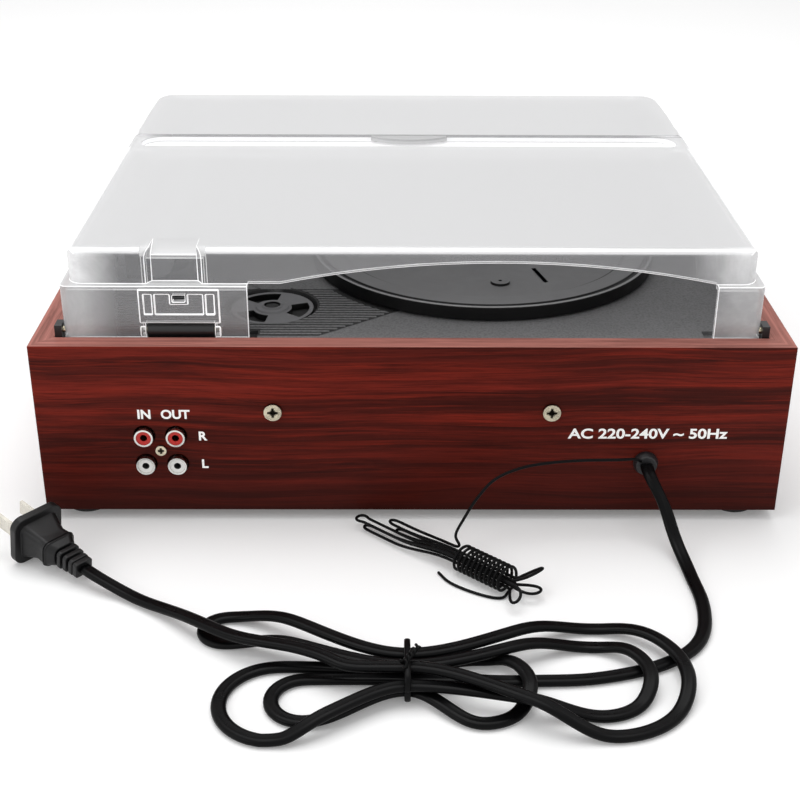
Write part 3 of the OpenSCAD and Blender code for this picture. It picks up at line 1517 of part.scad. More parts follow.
// The winding ends under the bundle, where the tail leaves it
function winding() = let (n = wire_turns * wind_step) [for (k = [0:n]) let (
        a = -60 - (360 * wire_turns + 30) * k / n)
    bundle_point(mix(wind_start, wind_end, k / n), wind_r * cos(a), wind_r * sin(a), bundle_z)];

tail_z = wire_d / 2 + lie_gap;
tail_route = [
    [-37, 226, 0.8], [-31, 225, tail_z], [-22, 220, tail_z], [-15, 214, tail_z], [-11, 207, tail_z]];

function aerial_bundle() = concat(
    [for (i = [0:2 * rows - 1]) each concat(strand_run(i), i < 2 * rows - 1 ? strand_turn(i) : [])],
    [bundle_point(41, 6.8, -2.2, spread_z + 1.6), bundle_point(46.5, 5.6, -3.8, bundle_z)],
    winding(), curve(tail_route, 2));

aerial_route = [
    [gland_x + 3, rear_y + gland_out, gland_z + 3], [gland_x + 3, rear_y + gland_out + 1.2, gland_z + 3],
    [-98, 171, 36], [-90, 172.5, 36.5], [-76, 173, 36.5], [-62, 174, 36], [-48, 176, 34.5],
    [-36, 180, 31], [-28, 186, 25], [-22, 192, 18], [-18.5, 196, 12.5]];

module aerial_wire() {
    join = [strand_point(0, first_s + 2.6) + [0, 0, 1.6], strand_point(0, first_s + 0.9) + [0, 0, 0.2],
        strand_point(0, first_s)];
    p = curve(concat(aerial_route, join), 2);
    color("#161616") lead(p, carried_sides(p), wire_d, wire_d, 8);
}

module aerial_hank() {
    p = aerial_bundle();
    echo(aerial_hank_gap = self_gap(p, wire_d, wire_d, 4));
    color("#161616") lead(p, carried_sides(p), wire_d, wire_d, 6);
}

rear_panel();
front_panel();
left_panel();
right_panel();
bottom_panel();
cleats();
deck_plate();
feet();
screws();
jack_board();
jack_shells();
red_jack_inserts();
white_jack_inserts();
cord_gland();
control_panel();
dial_scale();
dial_window();
power_lamp();
headphone_socket();
speaker_grilles();
speaker_frames();
speaker_cones();
main_board();
transformer();
volume_pot();
function_switch();
tuning_capacitor();
motor();
drive_belt();
spindle();
thrust_washer();
arm_base();
arm_rest();
hinge_block();
pivot_brackets();
hinge_pins();
lid_cover();
platter();
motor_pulley();
arm_yoke();
tonearm();
cartridge();
cue_lever();
lift_bar();
arm_clip();
speed_lever();
autostop_switch();
volume_knob();
function_knob();
tuning_knob();
dial_pointer();
single_adapter();
mains_lead();
mains_hank();
hank_tie();
plug_lead();
plug();
plug_blades();
aerial_wire();
aerial_hank();
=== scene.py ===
import functools
import json
import math

import bmesh
import bpy
import numpy as np
from mathutils import Matrix, Vector

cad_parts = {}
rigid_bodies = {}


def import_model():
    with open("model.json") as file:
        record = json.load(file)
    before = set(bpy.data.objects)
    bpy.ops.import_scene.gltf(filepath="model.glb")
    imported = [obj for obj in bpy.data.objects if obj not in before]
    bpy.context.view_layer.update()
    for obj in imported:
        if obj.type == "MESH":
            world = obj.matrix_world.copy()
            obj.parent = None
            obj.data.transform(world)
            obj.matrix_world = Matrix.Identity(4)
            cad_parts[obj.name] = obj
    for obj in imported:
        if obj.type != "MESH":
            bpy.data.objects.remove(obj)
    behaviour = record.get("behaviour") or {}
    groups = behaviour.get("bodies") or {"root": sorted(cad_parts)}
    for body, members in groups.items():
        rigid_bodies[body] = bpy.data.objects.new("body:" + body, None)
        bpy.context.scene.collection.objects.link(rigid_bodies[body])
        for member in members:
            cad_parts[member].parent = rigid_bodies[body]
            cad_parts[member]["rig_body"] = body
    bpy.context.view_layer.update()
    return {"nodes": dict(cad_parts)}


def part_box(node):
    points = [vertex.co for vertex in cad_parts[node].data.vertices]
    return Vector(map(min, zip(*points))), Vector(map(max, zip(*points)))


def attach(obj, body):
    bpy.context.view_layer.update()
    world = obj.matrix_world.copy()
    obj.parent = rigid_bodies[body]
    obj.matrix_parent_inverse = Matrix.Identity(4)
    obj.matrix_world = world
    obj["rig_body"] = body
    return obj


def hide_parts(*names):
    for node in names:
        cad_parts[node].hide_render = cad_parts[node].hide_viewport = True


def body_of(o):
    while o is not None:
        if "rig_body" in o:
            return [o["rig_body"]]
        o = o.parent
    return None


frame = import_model()

bl_info = {
    "name": "Record player dressing",
    "version": (1, 0, 0),
    "blender": (4, 5, 0),
    "location": "3D View > Sidebar > Record player",
    "description": "Leads, lettering, finishes and studio for the record player's solids",
    "category": "Object",
}

MM = 0.001
BODY = "cabinet"


# Places taken from the frame


def low(node):
    """Lowest corner of a CAD node, in metres."""
    return np.array(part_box(node)[0])


def high(node):
    """Highest corner of a CAD node, in metres."""
    return np.array(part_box(node)[1])


def middle(node):
    """Centre of a CAD node's box, in metres."""
    return (low(node) + high(node)) / 2


def shade(red, green, blue):
    """A colour given as display values from 0 to 255, as linear light."""
    c = np.array([red, green, blue]) / 255
    return tuple(np.where(c <= 0.04045, c / 12.92, ((c + 0.055) / 1.055) ** 2.4))


def mm(*values):
    """Millimetres as metres."""
    return tuple(v * MM for v in values)


REAR = high("rear_panel")[1]
GLAND = middle("cord_gland")
GLAND_FACE = high("cord_gland")[1]
WASHER_T = 0.7 * MM
DECK = high("thrust_washer")[2] - WASHER_T

# Rounded edges: the boards' radius, the width in millimetres on each moulding, the angle of an edge that
# counts as sharp, that of one that stays sharp in the shading, and that of faces that count as one
BOARDS, BOARD_RADIUS = ("rear_panel", "front_panel", "left_panel", "right_panel"), 0.5 * MM
SOFT = {
    "deck_plate": 0.2, "platter": 0.3, "single_adapter": 0.4, "hinge_block": 0.35, "cord_gland": 0.3,
    "arm_base": 0.4,
}
PLUG_EDGE, LID_EDGE, TROUGH_EDGE = mm(0.4, 0.3, 0.15)
SHARP, CREASE, FLAT = math.radians(38), math.radians(50), math.radians(0.3)

# Boxes on the lid, in millimetres, where its edges stay sharp or are rounded less
HINGE_OPENING = np.array([[75, 146, 80], [126, 149.3, 110]])
TROUGH_ZONE = np.array([[-200, -34, 112], [200, 0, 126]])
PIN_ROOM = 0.8 * MM

# What the materials pick out: on the rear, each screw's x, z and painted dark middle; on the platter, each
# ring's distances from the edge, its grey and its strength, as painted highlights and shade; on the deck, the
# ribs, whose low places get painted shade; then the lid's forms
LINE, SMUDGE = 0.1 * MM, 0.08
# Painted shade in recesses: it starts above the feet's height and below these depths behind the rear surface
ABOVE_FEET, SCREW_DEPTH, SOCKET_DEPTH = mm(20, 21), 1.2 * MM, 2.2 * MM
REAR_SCREWS = ((61, 55, 1.5), (-61, 55, 1.5), (111, 36, 1.0))
RING_SHADING = ((1.7, 4.3, 30, 0.92), (-0.1, 1.5, 166, 0.8), (12.6, 13.4, 140, 0.6), (13.4, 14.6, 36, 0.8))
RIBS_REAR, RIBS_SLANT, RIBS_EDGE, RIBS_Y = 145.7 * MM, 1.25, mm(39.5, 40.5), mm(92, 146.5)
LID_STEP, SCOOP_X, SCOOP_Y = 109 * MM, mm(88.5, 116.5), mm(131, 132)
END_LEFT, END_RIGHT = mm(126, 143), mm(-118, -141)
TROUGH_Y, TROUGH_Z, LIP_Y, LIP_Z = mm(-27.5, -5.1), mm(116.5, 123.5), mm(-29, -3), mm(115, 116)
TAB_HALF, TAB_Y, TAB_Z = 20.3 * MM, mm(-28.5, -18.5), mm(121.6, 124.9)

# Thin pieces: the cloth's inset, gap and sag; the rings round the sockets; the lines of the dial
CLOTH_INSET, CLOTH_GAP, CLOTH_SAG = mm(4.4, 0.5, 0.6)
HOLE_OUT, HOLE_IN, HOLE_GAP = mm(1.45, 0.75, 0.01)
TICKS, TICK_EVERY = 51, 5
TICK_ENDS, TICK_LONG, TICK_SHORT, TICK_HALF, TICK_DROP = mm(10, 2.4, 1.2, 0.12, 1.6)

# The studio, in metres: the floor's sheet and its rise, then each lamp's place, target, size and power
FLOOR_HALF, FLOOR_NEAR, FLOOR_FAR = 6.0, 3.0, -6.0
RISE, RISE_FROM, RISE_RUN = 3.0, -2.5, 3.0
LAMPS = {
    "overhead": ((0.1, -0.2, 1.5), (0, 0.0, 0.05), 1.3, 13.0),
    "side": ((1.3, 1.0, 0.9), (0, 0.1, 0.05), 1.0, 5.0),
}


# Settings


class LeadSettings(bpy.types.PropertyGroup):
    """Sizes of the leads; their routes follow the solids"""

    width: bpy.props.FloatProperty(
        name="Lead width", description="Width of the flat mains lead", default=5.8 * MM, unit="LENGTH")
    thickness: bpy.props.FloatProperty(
        name="Lead thickness", description="Thickness of the flat mains lead", default=3.2 * MM,
        unit="LENGTH")
    groove: bpy.props.FloatProperty(
        name="Groove", description="Depth of the groove between the two cores, as a share of the thickness",
        default=0.2, min=0, max=0.5, subtype="FACTOR")
    wire: bpy.props.FloatProperty(
        name="Wire diameter", description="Diameter of the aerial wire", default=1.3 * MM, unit="LENGTH")
    ring_step: bpy.props.FloatProperty(
        name="Ring distance", description="Distance between the rings of the mains lead", default=1.8 * MM,
        unit="LENGTH")
    tie_wire: bpy.props.FloatProperty(
        name="Tie thickness", description="Thickness of the wire tie", default=1.3 * MM, unit="LENGTH")


class FinishSettings(bpy.types.PropertyGroup):
    """Colours of the finishes"""

    wood_dark: bpy.props.FloatVectorProperty(
        name="Wood streaks", description="Dark streaks of the wood", subtype="COLOR",
        default=shade(58, 20, 15))
    wood_mid: bpy.props.FloatVectorProperty(
        name="Wood", description="Main colour of the wood", subtype="COLOR", default=shade(132, 41, 30))
    wood_light: bpy.props.FloatVectorProperty(
        name="Wood highlights", description="Bright bands of the wood", subtype="COLOR",
        default=shade(156, 46, 30))
    # The upper faces of the boards take this paler colour as a painted highlight from the light above
    rim: bpy.props.FloatVectorProperty(
        name="Rim", description="Upper edges of the boards", subtype="COLOR", default=shade(172, 112, 102))
    lid: bpy.props.FloatVectorProperty(
        name="Lid", description="Haze of the clear lid", subtype="COLOR", default=shade(240, 240, 241))
    deck: bpy.props.FloatVectorProperty(
        name="Deck", description="Textured plastic of the deck", subtype="COLOR",
        default=shade(121, 121, 122))
    platter: bpy.props.FloatVectorProperty(
        name="Platter", description="Plastic of the platter", subtype="COLOR", default=shade(131, 131, 132))
    lead: bpy.props.FloatVectorProperty(
        name="Leads", description="Sheath of the leads", subtype="COLOR", default=shade(8, 8, 9))


class StageSettings(bpy.types.PropertyGroup):
    """Camera, floor and light"""

    place: bpy.props.FloatVectorProperty(
        name="Camera place", description="Where the camera stands", subtype="XYZ", unit="LENGTH",
        default=(9.1 * MM, 706.4 * MM, 332.2 * MM))
    pitch: bpy.props.FloatProperty(
        name="Pitch", description="How far the camera looks down", unit="ROTATION",
        default=math.radians(26.535))
    yaw: bpy.props.FloatProperty(
        name="Yaw", description="How far the camera turns from straight ahead", unit="ROTATION",
        default=math.radians(-0.387))
    roll: bpy.props.FloatProperty(
        name="Roll", description="How far the camera leans", unit="ROTATION", default=math.radians(0.267))
    lens: bpy.props.FloatProperty(
        name="Lens", description="Focal length in millimetres on a 36 mm frame", default=62.8, min=10)
    floor: bpy.props.FloatVectorProperty(
        name="Floor", description="Colour of the floor", subtype="COLOR", default=(0.9, 0.9, 0.9))
    lift: bpy.props.FloatProperty(
        name="Floor lift", description="Brightness added to the floor where the camera sees it", default=0.14,
        min=0)
    ambient: bpy.props.FloatProperty(
        name="Ambient light", description="Strength of the light from all around", default=0.62, min=0)


# Surfaces


def ease(t):
    """Smooth step: 0 below 0, 1 above 1 and 3t^2 - 2t^3 between."""
    s = np.clip(t, 0, 1)
    return s * s * (3 - 2 * s)


def mix(a, b, t):
    """The value at share t of the way from a to b."""
    return a + (b - a) * t


def unit(v):
    """Vectors made one long."""
    return v / np.linalg.norm(v, axis=-1, keepdims=True)


def curve(points, steps):
    """Smooth curve through points: on each stretch the cubic that takes its slopes from the neighbours."""
    p = np.asarray(points, float)
    a, b, c, d = p[np.r_[0, 0:len(p) - 2]], p[:-1], p[1:], p[np.r_[2:len(p), len(p) - 1]]
    t = (np.arange(steps) / steps)[None, :, None]
    a, b, c, d = (x[:, None, :] for x in (a, b, c, d))
    q = b + 0.5 * t * ((c - a) + t * ((2 * a - 5 * b + 4 * c - d) + t * (3 * b - a - 3 * c + d)))
    return np.vstack([q.reshape(-1, 3), p[-1:]])


def steps_of(path):
    """Lengths of a path's steps."""
    return np.linalg.norm(np.diff(path, axis=0), axis=1)


def even(path, step, soften):
    """The path walked in equal steps along its length, averaged soften times with its neighbours."""
    path = path[np.r_[True, steps_of(path) > 1e-6]]
    run = np.r_[0, np.cumsum(steps_of(path))]
    at = np.linspace(0, run[-1], max(2, int(run[-1] / step) + 1))
    out = np.stack([np.interp(at, run, path[:, k]) for k in range(3)], axis=1)
    for _ in range(soften):
        out[1:-1] = 0.25 * out[:-2] + 0.5 * out[1:-1] + 0.25 * out[2:]
    return out


def directions(path):
    """Unit tangents of a path, from each point's two neighbours."""
    return unit(np.gradient(path, axis=0))


def level_sides(path):
    """Width directions that stay level: the tangent turned a quarter about the vertical."""
    t = directions(path)
    return unit(np.stack([t[:, 1], -t[:, 0], np.zeros(len(t))], axis=1))


def carried_sides(path):
    """Width directions without twist: each is the one before it, made square to its own tangent."""
    t = directions(path)
    sides = [unit(np.cross(t[0], [0.2, 0.1, 1.0]))]
    for tangent in t[1:]:
        sides.append(unit(sides[-1] - tangent * (sides[-1] @ tangent)))
    return np.array(sides)


def show(name, data):
    """A new object in the scene."""
    obj = bpy.data.objects.new(name, data)
    bpy.context.collection.objects.link(obj)
    return obj


def move_points(mesh, change):
    """Gives a mesh the points that change makes from its own."""
    points = np.empty(len(mesh.vertices) * 3)
    mesh.vertices.foreach_get("co", points)
    mesh.vertices.foreach_set("co", change(points.reshape(-1, 3)).ravel())
    mesh.update()


def put_mesh(name, points, faces, smooth=True):
    """A new object at the origin from an array of points and a list of faces."""
    mesh = bpy.data.meshes.new(name)
    mesh.from_pydata(points, [], faces)
    mesh.update()
    mesh.polygons.foreach_set("use_smooth", np.full(len(mesh.polygons), smooth))
    return show(name, mesh)


def put_grid(name, grid, closed=False, caps=False):
    """A surface from a grid of points, rows by columns. closed joins the last column to the first,
    and caps closes the first and last rows with one face each."""
    rows, cols = grid.shape[:2]
    r, c = np.meshgrid(np.arange(rows - 1), np.arange(cols if closed else cols - 1), indexing="ij")
    d = (c + 1) % cols
    faces = np.stack([r * cols + c, r * cols + d, (r + 1) * cols + d, (r + 1) * cols + c], axis=-1)
    faces = faces.reshape(-1, 4).tolist()
    if caps:
        faces += [list(range(cols))[::-1], list(range((rows - 1) * cols, rows * cols))]
    return put_mesh(name, grid.reshape(-1, 3), faces)


def put_tube(name, path, sides, across, up):
    """A profile carried along a path: point + side * across + (tangent x side) * up, closed at both ends."""
    lift = np.cross(directions(path), sides)
    grid = path[:, None] + sides[:, None] * across[None, :, None] + lift[:, None] * up[None, :, None]
    return put_grid(name, grid, closed=True, caps=True)


def circle(diameter, count):
    """Points of a circle, as all their first and all their second coordinates."""
    a = 2 * np.pi * np.arange(count) / count
    return diameter / 2 * np.cos(a), diameter / 2 * np.sin(a)


def squared(v, power):
    """Coordinates of a circle drawn out towards a square."""
    return np.sign(v) * np.abs(v) ** power


def twin_profile(width, thickness, groove, count):
    """A flat twin lead: a rounded oblong whose thickness drops by the groove in the middle of its width."""
    x, y = circle(2, count)
    x = squared(x, 0.75)
    return width / 2 * x, thickness / 2 * squared(y, 0.85) * (1 - groove * np.exp(-(x / 0.22) ** 2))


def stand_in(node, shape, smooth):
    """An object from a worked copy of a CAD node, held inside the node's box; it stands in for the node."""
    source = frame["nodes"][node]
    mesh = bpy.data.meshes.new(node + "_soft")
    shape.to_mesh(mesh)
    shape.free()
    move_points(mesh, lambda points: np.clip(points, low(node), high(node)))
    obj = show(node + "_soft", mesh)
    if smooth:
        mesh.shade_smooth()
        mesh.set_sharp_from_angle(angle=CREASE)
        even_out = obj.modifiers.new("even normals", "WEIGHTED_NORMAL")
        even_out.mode, even_out.keep_sharp = "FACE_AREA", True
    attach(obj, body_of(source)[0])
    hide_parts(node)
    return obj


def merged(node):
    """A copy of a CAD node's triangles, joined where they meet."""
    shape = bmesh.new()
    shape.from_mesh(frame["nodes"][node].data)
    bmesh.ops.remove_doubles(shape, verts=shape.verts, dist=0.001 * MM)
    return shape


def softened(node, width, strip=-1, flat=False, zones=()):
    """A CAD node with its sharp edges rounded off. strip is the material number of the rounded edges, and
    flat keeps the triangles of a plate full of holes. zones are boxes with widths of their own, or 0."""
    shape = merged(node)
    if not flat:
        bmesh.ops.dissolve_limit(shape, angle_limit=FLAT, verts=shape.verts, edges=shape.edges)

    def zone_of(edge):
        ends = np.array([v.co for v in edge.verts])
        return next((i for i, (lo, hi, _) in enumerate(zones) if np.all((lo < ends) & (ends < hi))), None)

    for zone, size in [*((i, own) for i, (_, _, own) in enumerate(zones) if own), (None, width)]:
        edges = [e for e in shape.edges
                 if len(e.link_faces) == 2 and e.calc_face_angle() > SHARP and zone_of(e) == zone]
        bmesh.ops.bevel(shape, geom=edges, offset=size, offset_type="OFFSET", segments=2, profile=0.5,
                        affect="EDGES", clamp_overlap=False, material=strip, miter_outer="ARC")
    return stand_in(node, shape, not flat)


def edge_planes(axes, signs, place, radius):
    """Two planes that round off a box edge: they touch a circle set into the corner at 30 and 60 degrees."""
    a, b = np.zeros(3), np.zeros(3)
    a[axes[0]], b[axes[1]] = signs
    ways = [math.cos(t) * a + math.sin(t) * b for t in (math.pi / 6, math.pi / 3)]
    return [(place - radius * (a + b) + radius * way, way) for way in ways]


def rounded_board(node, radius):
    """A board of the box with the box's outer edges and its own inner upper edge planed round."""
    lo = np.minimum(low("left_panel"), low("front_panel"))
    hi = np.maximum(high("right_panel"), high("rear_panel"))
    planes = []
    for axes in ((0, 1), (0, 2), (1, 2)):
        for signs in ((1, 1), (1, -1), (-1, 1), (-1, -1)):
            place = np.zeros(3)
            place[list(axes)] = [hi[k] if sign > 0 else lo[k] for k, sign in zip(axes, signs)]
            planes += edge_planes(axes, signs, place, radius)
    across = 1 if node in ("rear_panel", "front_panel") else 0
    outward = np.sign(middle(node)[across])
    place = np.array([0, 0, hi[2]])
    place[across] = low(node)[across] if outward > 0 else high(node)[across]
    planes += edge_planes((across, 2), (-outward, 1), place, radius)
    shape = merged(node)
    for point, way in planes:
        cut = bmesh.ops.bisect_plane(shape, geom=shape.verts[:] + shape.edges[:] + shape.faces[:], dist=1e-7,
                                     plane_co=point, plane_no=way, clear_outer=True)
        rims = [e for e in cut["geom_cut"] if isinstance(e, bmesh.types.BMEdge)]
        bmesh.ops.holes_fill(shape, edges=rims, sides=0)
    stand_in(node, shape, False)


# Routes of the leads, in millimetres, as in the solids. WAIST has the column and row of each pass
# through the hank's waist; LOOPS have side, reach, half width, centre, way out and angle of the hump.
# TURNS_AT has each turn's place along the bundle, its reach along, across and up, and its half width

HANK_AT = np.array([3, 284])
LIFT, LEAD_T, LEAD_W, LIE_GAP = 2.0, 3.0, 5.0, 0.05
LYING = LEAD_T / 2 + LIE_GAP
ROW, COLUMN, JOINT_U, HOLD, STAY = LEAD_T + 0.8, LEAD_W + 0.8, 18, 0.62, 6
WAIST = np.array([[0, 0], [1, 0], [-1, 0], [1.4, 1], [-0.7, 1], [-1.9, 1], [0.3, 2]])
LOOPS = [[1, 51, 12.5, 9.5, -1, 0], [-1, 46, 19, 4, 1, 107], [1, 70, 21.5, 11, -1, 0],
         [-1, 92, 21, -2, 1, 108], [1, 81, 9, -34, 1, 0], [-1, 106, 32.5, -2.5, -1, 66]]
TIE_INSET, TIE_SQUARE, TIE_BAND, TIE_END, TIE_TURNS, TIE_STEP = 0.6, 0.46, 2.4, 14, 5.5, 0.8
PLUG_AT, PLUG_LEN = np.array([163.5, 192, 12.1]), 34
PLUG_TURN, PLUG_TILT = math.radians(140), math.radians(9)


def mains_route():
    """From the gland down to the surface and round to the hank's waist."""
    x, y, z = GLAND[0] / MM, GLAND_FACE / MM, GLAND[2] / MM
    return curve([
        [x, y, z], [x, y + 2, z], [x, 171, z - 0.3], [-105, 175, 28], [-108, 178.5, 23], [-111, 182, 17],
        [-113, 187, 11], [-115, 194, 6], [-117, 203, 2.9], [-118, 214, LYING + 0.3],
        [-119, 227, LYING + 0.06], [-118, 240, LYING], [-115, 252, LYING], [-109, 262, LYING],
        [-99, 270, LYING], [-86, 276, LYING], [-66, 281, LYING], [-46, 282, LYING],
        [-31, 283, LYING + 0.6], [-22, 284, LYING + LIFT],
        [HANK_AT[0] - JOINT_U, HANK_AT[1], LYING + LIFT]], 8)


def hank_leg(side, place, run, u, edge):
    """A leg of a loop: it eases from its place in the waist to the loop's edge, and sinks to the surface."""
    column, row = WAIST[place]
    start = HOLD * run if row else STAY
    return np.stack([side * u, mix(column * COLUMN, edge, ease(u / run)),
                     LYING + (LIFT + row * ROW) * (1 - ease((u - start) / (run - start)))], axis=1)


def hank_loop(place, side, reach, half, centre, out, hump):
    """A leg out, half a circle that humps over the incoming lead at one angle, and a leg back."""
    run = reach - half
    u = run * np.linspace(0, 1, 22)
    a = np.pi * np.arange(1, 24) / 24
    over = ROW * ease((np.cos(a - math.radians(hump)) - 0.45) / 0.5) if side < 0 else 0 * a
    tip = np.stack([side * (run + half * np.sin(a)), centre + out * half * np.cos(a), LYING + over], axis=1)
    back = hank_leg(side, place + 1, run, u[:0:-1], centre - out * half)
    return np.vstack([hank_leg(side, place, run, u, centre + out * half), tip, back])


def hank_route():
    """All the loops of the hank, one after the other, through the waist's places."""
    top = [WAIST[6, 0] * COLUMN, LYING + LIFT + WAIST[6, 1] * ROW]
    start = [[-JOINT_U, 0, LYING + LIFT], [-JOINT_U / 2, 0, LYING + LIFT]]
    end = [[0, *top], [JOINT_U / 2, *top], [JOINT_U, *top]]
    path = np.vstack([start, *(hank_loop(i, *loop) for i, loop in enumerate(LOOPS)), end])
    return path + np.array([*HANK_AT, 0])


def plug_route():
    """From the hank's waist over its loops and along the surface to the plug."""
    way = np.array([math.cos(PLUG_TURN) * math.cos(PLUG_TILT), math.sin(PLUG_TURN) * math.cos(PLUG_TILT),
                    -math.sin(PLUG_TILT)])
    plug_exit = PLUG_AT + PLUG_LEN * way
    x, y, z = HANK_AT[0] + JOINT_U, HANK_AT[1] + WAIST[6, 0] * COLUMN, LYING + LIFT + WAIST[6, 1] * ROW
    return curve([
        [x, y, z], [x + 6, y - 1, z], [35, 279, 11.3], [46, 273, 10.6], [57, 268.5, 9.5], [67, 264.5, 8.6],
        [76, 259, 7.8], [84, 252.5, 7], [92, 245.5, 5.6], [101, 238, 3.6], [111, 231, 2.4], [120, 225, 3],
        plug_exit + 8 * way + [0, 0, 0.6], plug_exit], 8)


WIRE, WIRE_STEP, WIRE_ROWS, WIRE_TURNS = 1.3, 0.8, 4, 11
BUNDLE_A, BUNDLE_B = np.array([18, 169]), np.array([-43, 224])
BUNDLE_WAY = unit(BUNDLE_B - BUNDLE_A)
BUNDLE_ACROSS = np.array([-BUNDLE_WAY[1], BUNDLE_WAY[0]])
WIND_START, WIND_END, WIND_R = 52, 78, 5.6
BUNDLE_Z, SPREAD_Z = WIND_R + WIRE / 2 + 0.2, 3.4
FIRST_S, LAST_S = 46, 33
TURNS_AT = [[12, -4, 0, 0, 0], [81, 5, 11, 1.5, 3.5], [0, -5, 0, 0, 1.2], [81, 8, -5, -1, 3],
            [3, -4, 0, 0, 0], [81, 10, 4, -0.5, 2.5], [16, -4, 0, 0, 0]]


def bundle_points(s, across, up, z):
    """Places in the bundle: s along it, and distances across and up from its middle."""
    s, across, up, z = np.broadcast_arrays(*(np.atleast_1d(np.asarray(v, float)) for v in (s, across, up, z)))
    plan = BUNDLE_A + s[:, None] * BUNDLE_WAY + across[:, None] * BUNDLE_ACROSS
    return np.column_stack([plan, z + up])


def strand(i, s):
    """Strand i at s along the bundle: two rows, close under the winding and spread at both ends."""
    s = np.atleast_1d(np.asarray(s, float))
    left, right = ease((WIND_START - 4 - s) / 30), ease((s - WIND_END - 1) / 6)
    pitch = mix(mix(WIRE + 0.8, 3.6, left), 2.6, right)
    height = mix(mix(WIRE + 0.1, 1.6, left), 1.9, right)
    column = i if i < WIRE_ROWS else 2 * WIRE_ROWS - 1 - i
    up = height if i < WIRE_ROWS else -height
    return bundle_points(s, ((WIRE_ROWS - 1) / 2 - column) * pitch, up, mix(BUNDLE_Z, SPREAD_Z, left))


def strand_run(i):
    """Strand i from the turn before it to the next one, then that turn: half a circle drawn out sideways,
    which lies across the bundle by its half width and leans by its reach along, across and up."""
    last = i == 2 * WIRE_ROWS - 1
    start = TURNS_AT[i - 1][0] if i else FIRST_S
    run = strand(i, np.linspace(start, LAST_S if last else TURNS_AT[i][0], 40))
    if last:
        return run
    s, along, across, up, half = TURNS_AT[i]
    p, q = strand(i, s)[0], strand(i + 1, s)[0]
    a = (np.pi * np.arange(1, 20) / 20)[:, None]
    way = np.array([*(along * BUNDLE_WAY + across * BUNDLE_ACROSS), up])
    side = np.array([*BUNDLE_ACROSS, 0]) * (1 if (q - p)[:2] @ BUNDLE_ACROSS > 0.1 else -1)
    return np.vstack([run, mix(p, q, (1 - np.cos(a)) / 2) + way * np.sin(a) - side * half * np.sin(2 * a)])


def aerial_route():
    """From the gland along the rear board, through the strands, round the winding and out to the tail."""
    x, y, z = GLAND[0] / MM + 3, GLAND_FACE / MM, GLAND[2] / MM + 3
    low_z = WIRE / 2 + LIE_GAP
    lead_in = curve([
        [x, y, z], [x, y + 1.2, z], [-98, 171, 36], [-90, 172.5, 36.5], [-76, 173, 36.5], [-62, 174, 36],
        [-48, 176, 34.5], [-36, 180, 31], [-28, 186, 25], [-22, 192, 18], [-18.5, 196, 12.5],
        strand(0, FIRST_S + 2.6)[0] + [0, 0, 1.6], strand(0, FIRST_S + 0.9)[0] + [0, 0, 0.2],
        strand(0, FIRST_S)[0]], 8)
    k = np.linspace(0, 1, WIRE_TURNS * 32 + 1)
    a = np.radians(-60 - (360 * WIRE_TURNS + 30) * k)
    winding = bundle_points(mix(WIND_START, WIND_END, k), WIND_R * np.cos(a), WIND_R * np.sin(a), BUNDLE_Z)
    runs = [strand_run(i) for i in range(2 * WIRE_ROWS)]
    rise = curve([runs[-1][-2], runs[-1][-1], bundle_points(41, 6.8, -2.2, SPREAD_Z + 1.6)[0],
                  bundle_points(46.5, 5.6, -3.8, BUNDLE_Z)[0], winding[0], winding[3]], 8)[8:-8]
    tail = curve([winding[-4], winding[-1], [-37, 226, low_z + 0.1], [-31, 225, low_z], [-22, 220, low_z],
                  [-15, 214, low_z], [-11, 207, low_z]], 8)[8:]
    return np.vstack([lead_in, *runs, rise, winding, tail])


# Lettering

PRINT_GAP, LETTER_T, NAME_DROP = 0.02, 0.06 * MM, 14


def put_letters(name, words, cap, centre, right, up, weight, width=None):
    """Flat raised lettering: cap is its height, centre its middle, right and up its directions."""
    data = bpy.data.curves.new(name, "FONT")
    data.body, data.align_x, data.align_y = words, "CENTER", "CENTER"
    data.size, data.offset, data.extrude = 1.0, weight, 0.01
    maker = show(name + "_maker", data)
    bpy.context.view_layer.update()
    mesh = bpy.data.meshes.new_from_object(maker.evaluated_get(bpy.context.evaluated_depsgraph_get()))
    bpy.data.objects.remove(maker)
    mesh.name = name

    def place(p):
        p = p - (p.min(0) + p.max(0)) / 2
        p *= cap / np.ptp(p[:, 1])
        if width:
            p[:, 0] *= width / np.ptp(p[:, 0])
        raised = p[:, 2:] / p[:, 2].max() * LETTER_T
        return centre + p[:, :1] * right + p[:, 1:2] * up + raised * np.cross(right, up)

    move_points(mesh, place)
    return show(name, mesh)


# Materials


def scaled(colour, share):
    """A colour made darker or lighter, with full alpha."""
    return (*(min(1.0, c * share) for c in colour), 1.0)


def paint(red, green, blue):
    """A colour given as display values, with full alpha."""
    return scaled(shade(red, green, blue), 1)


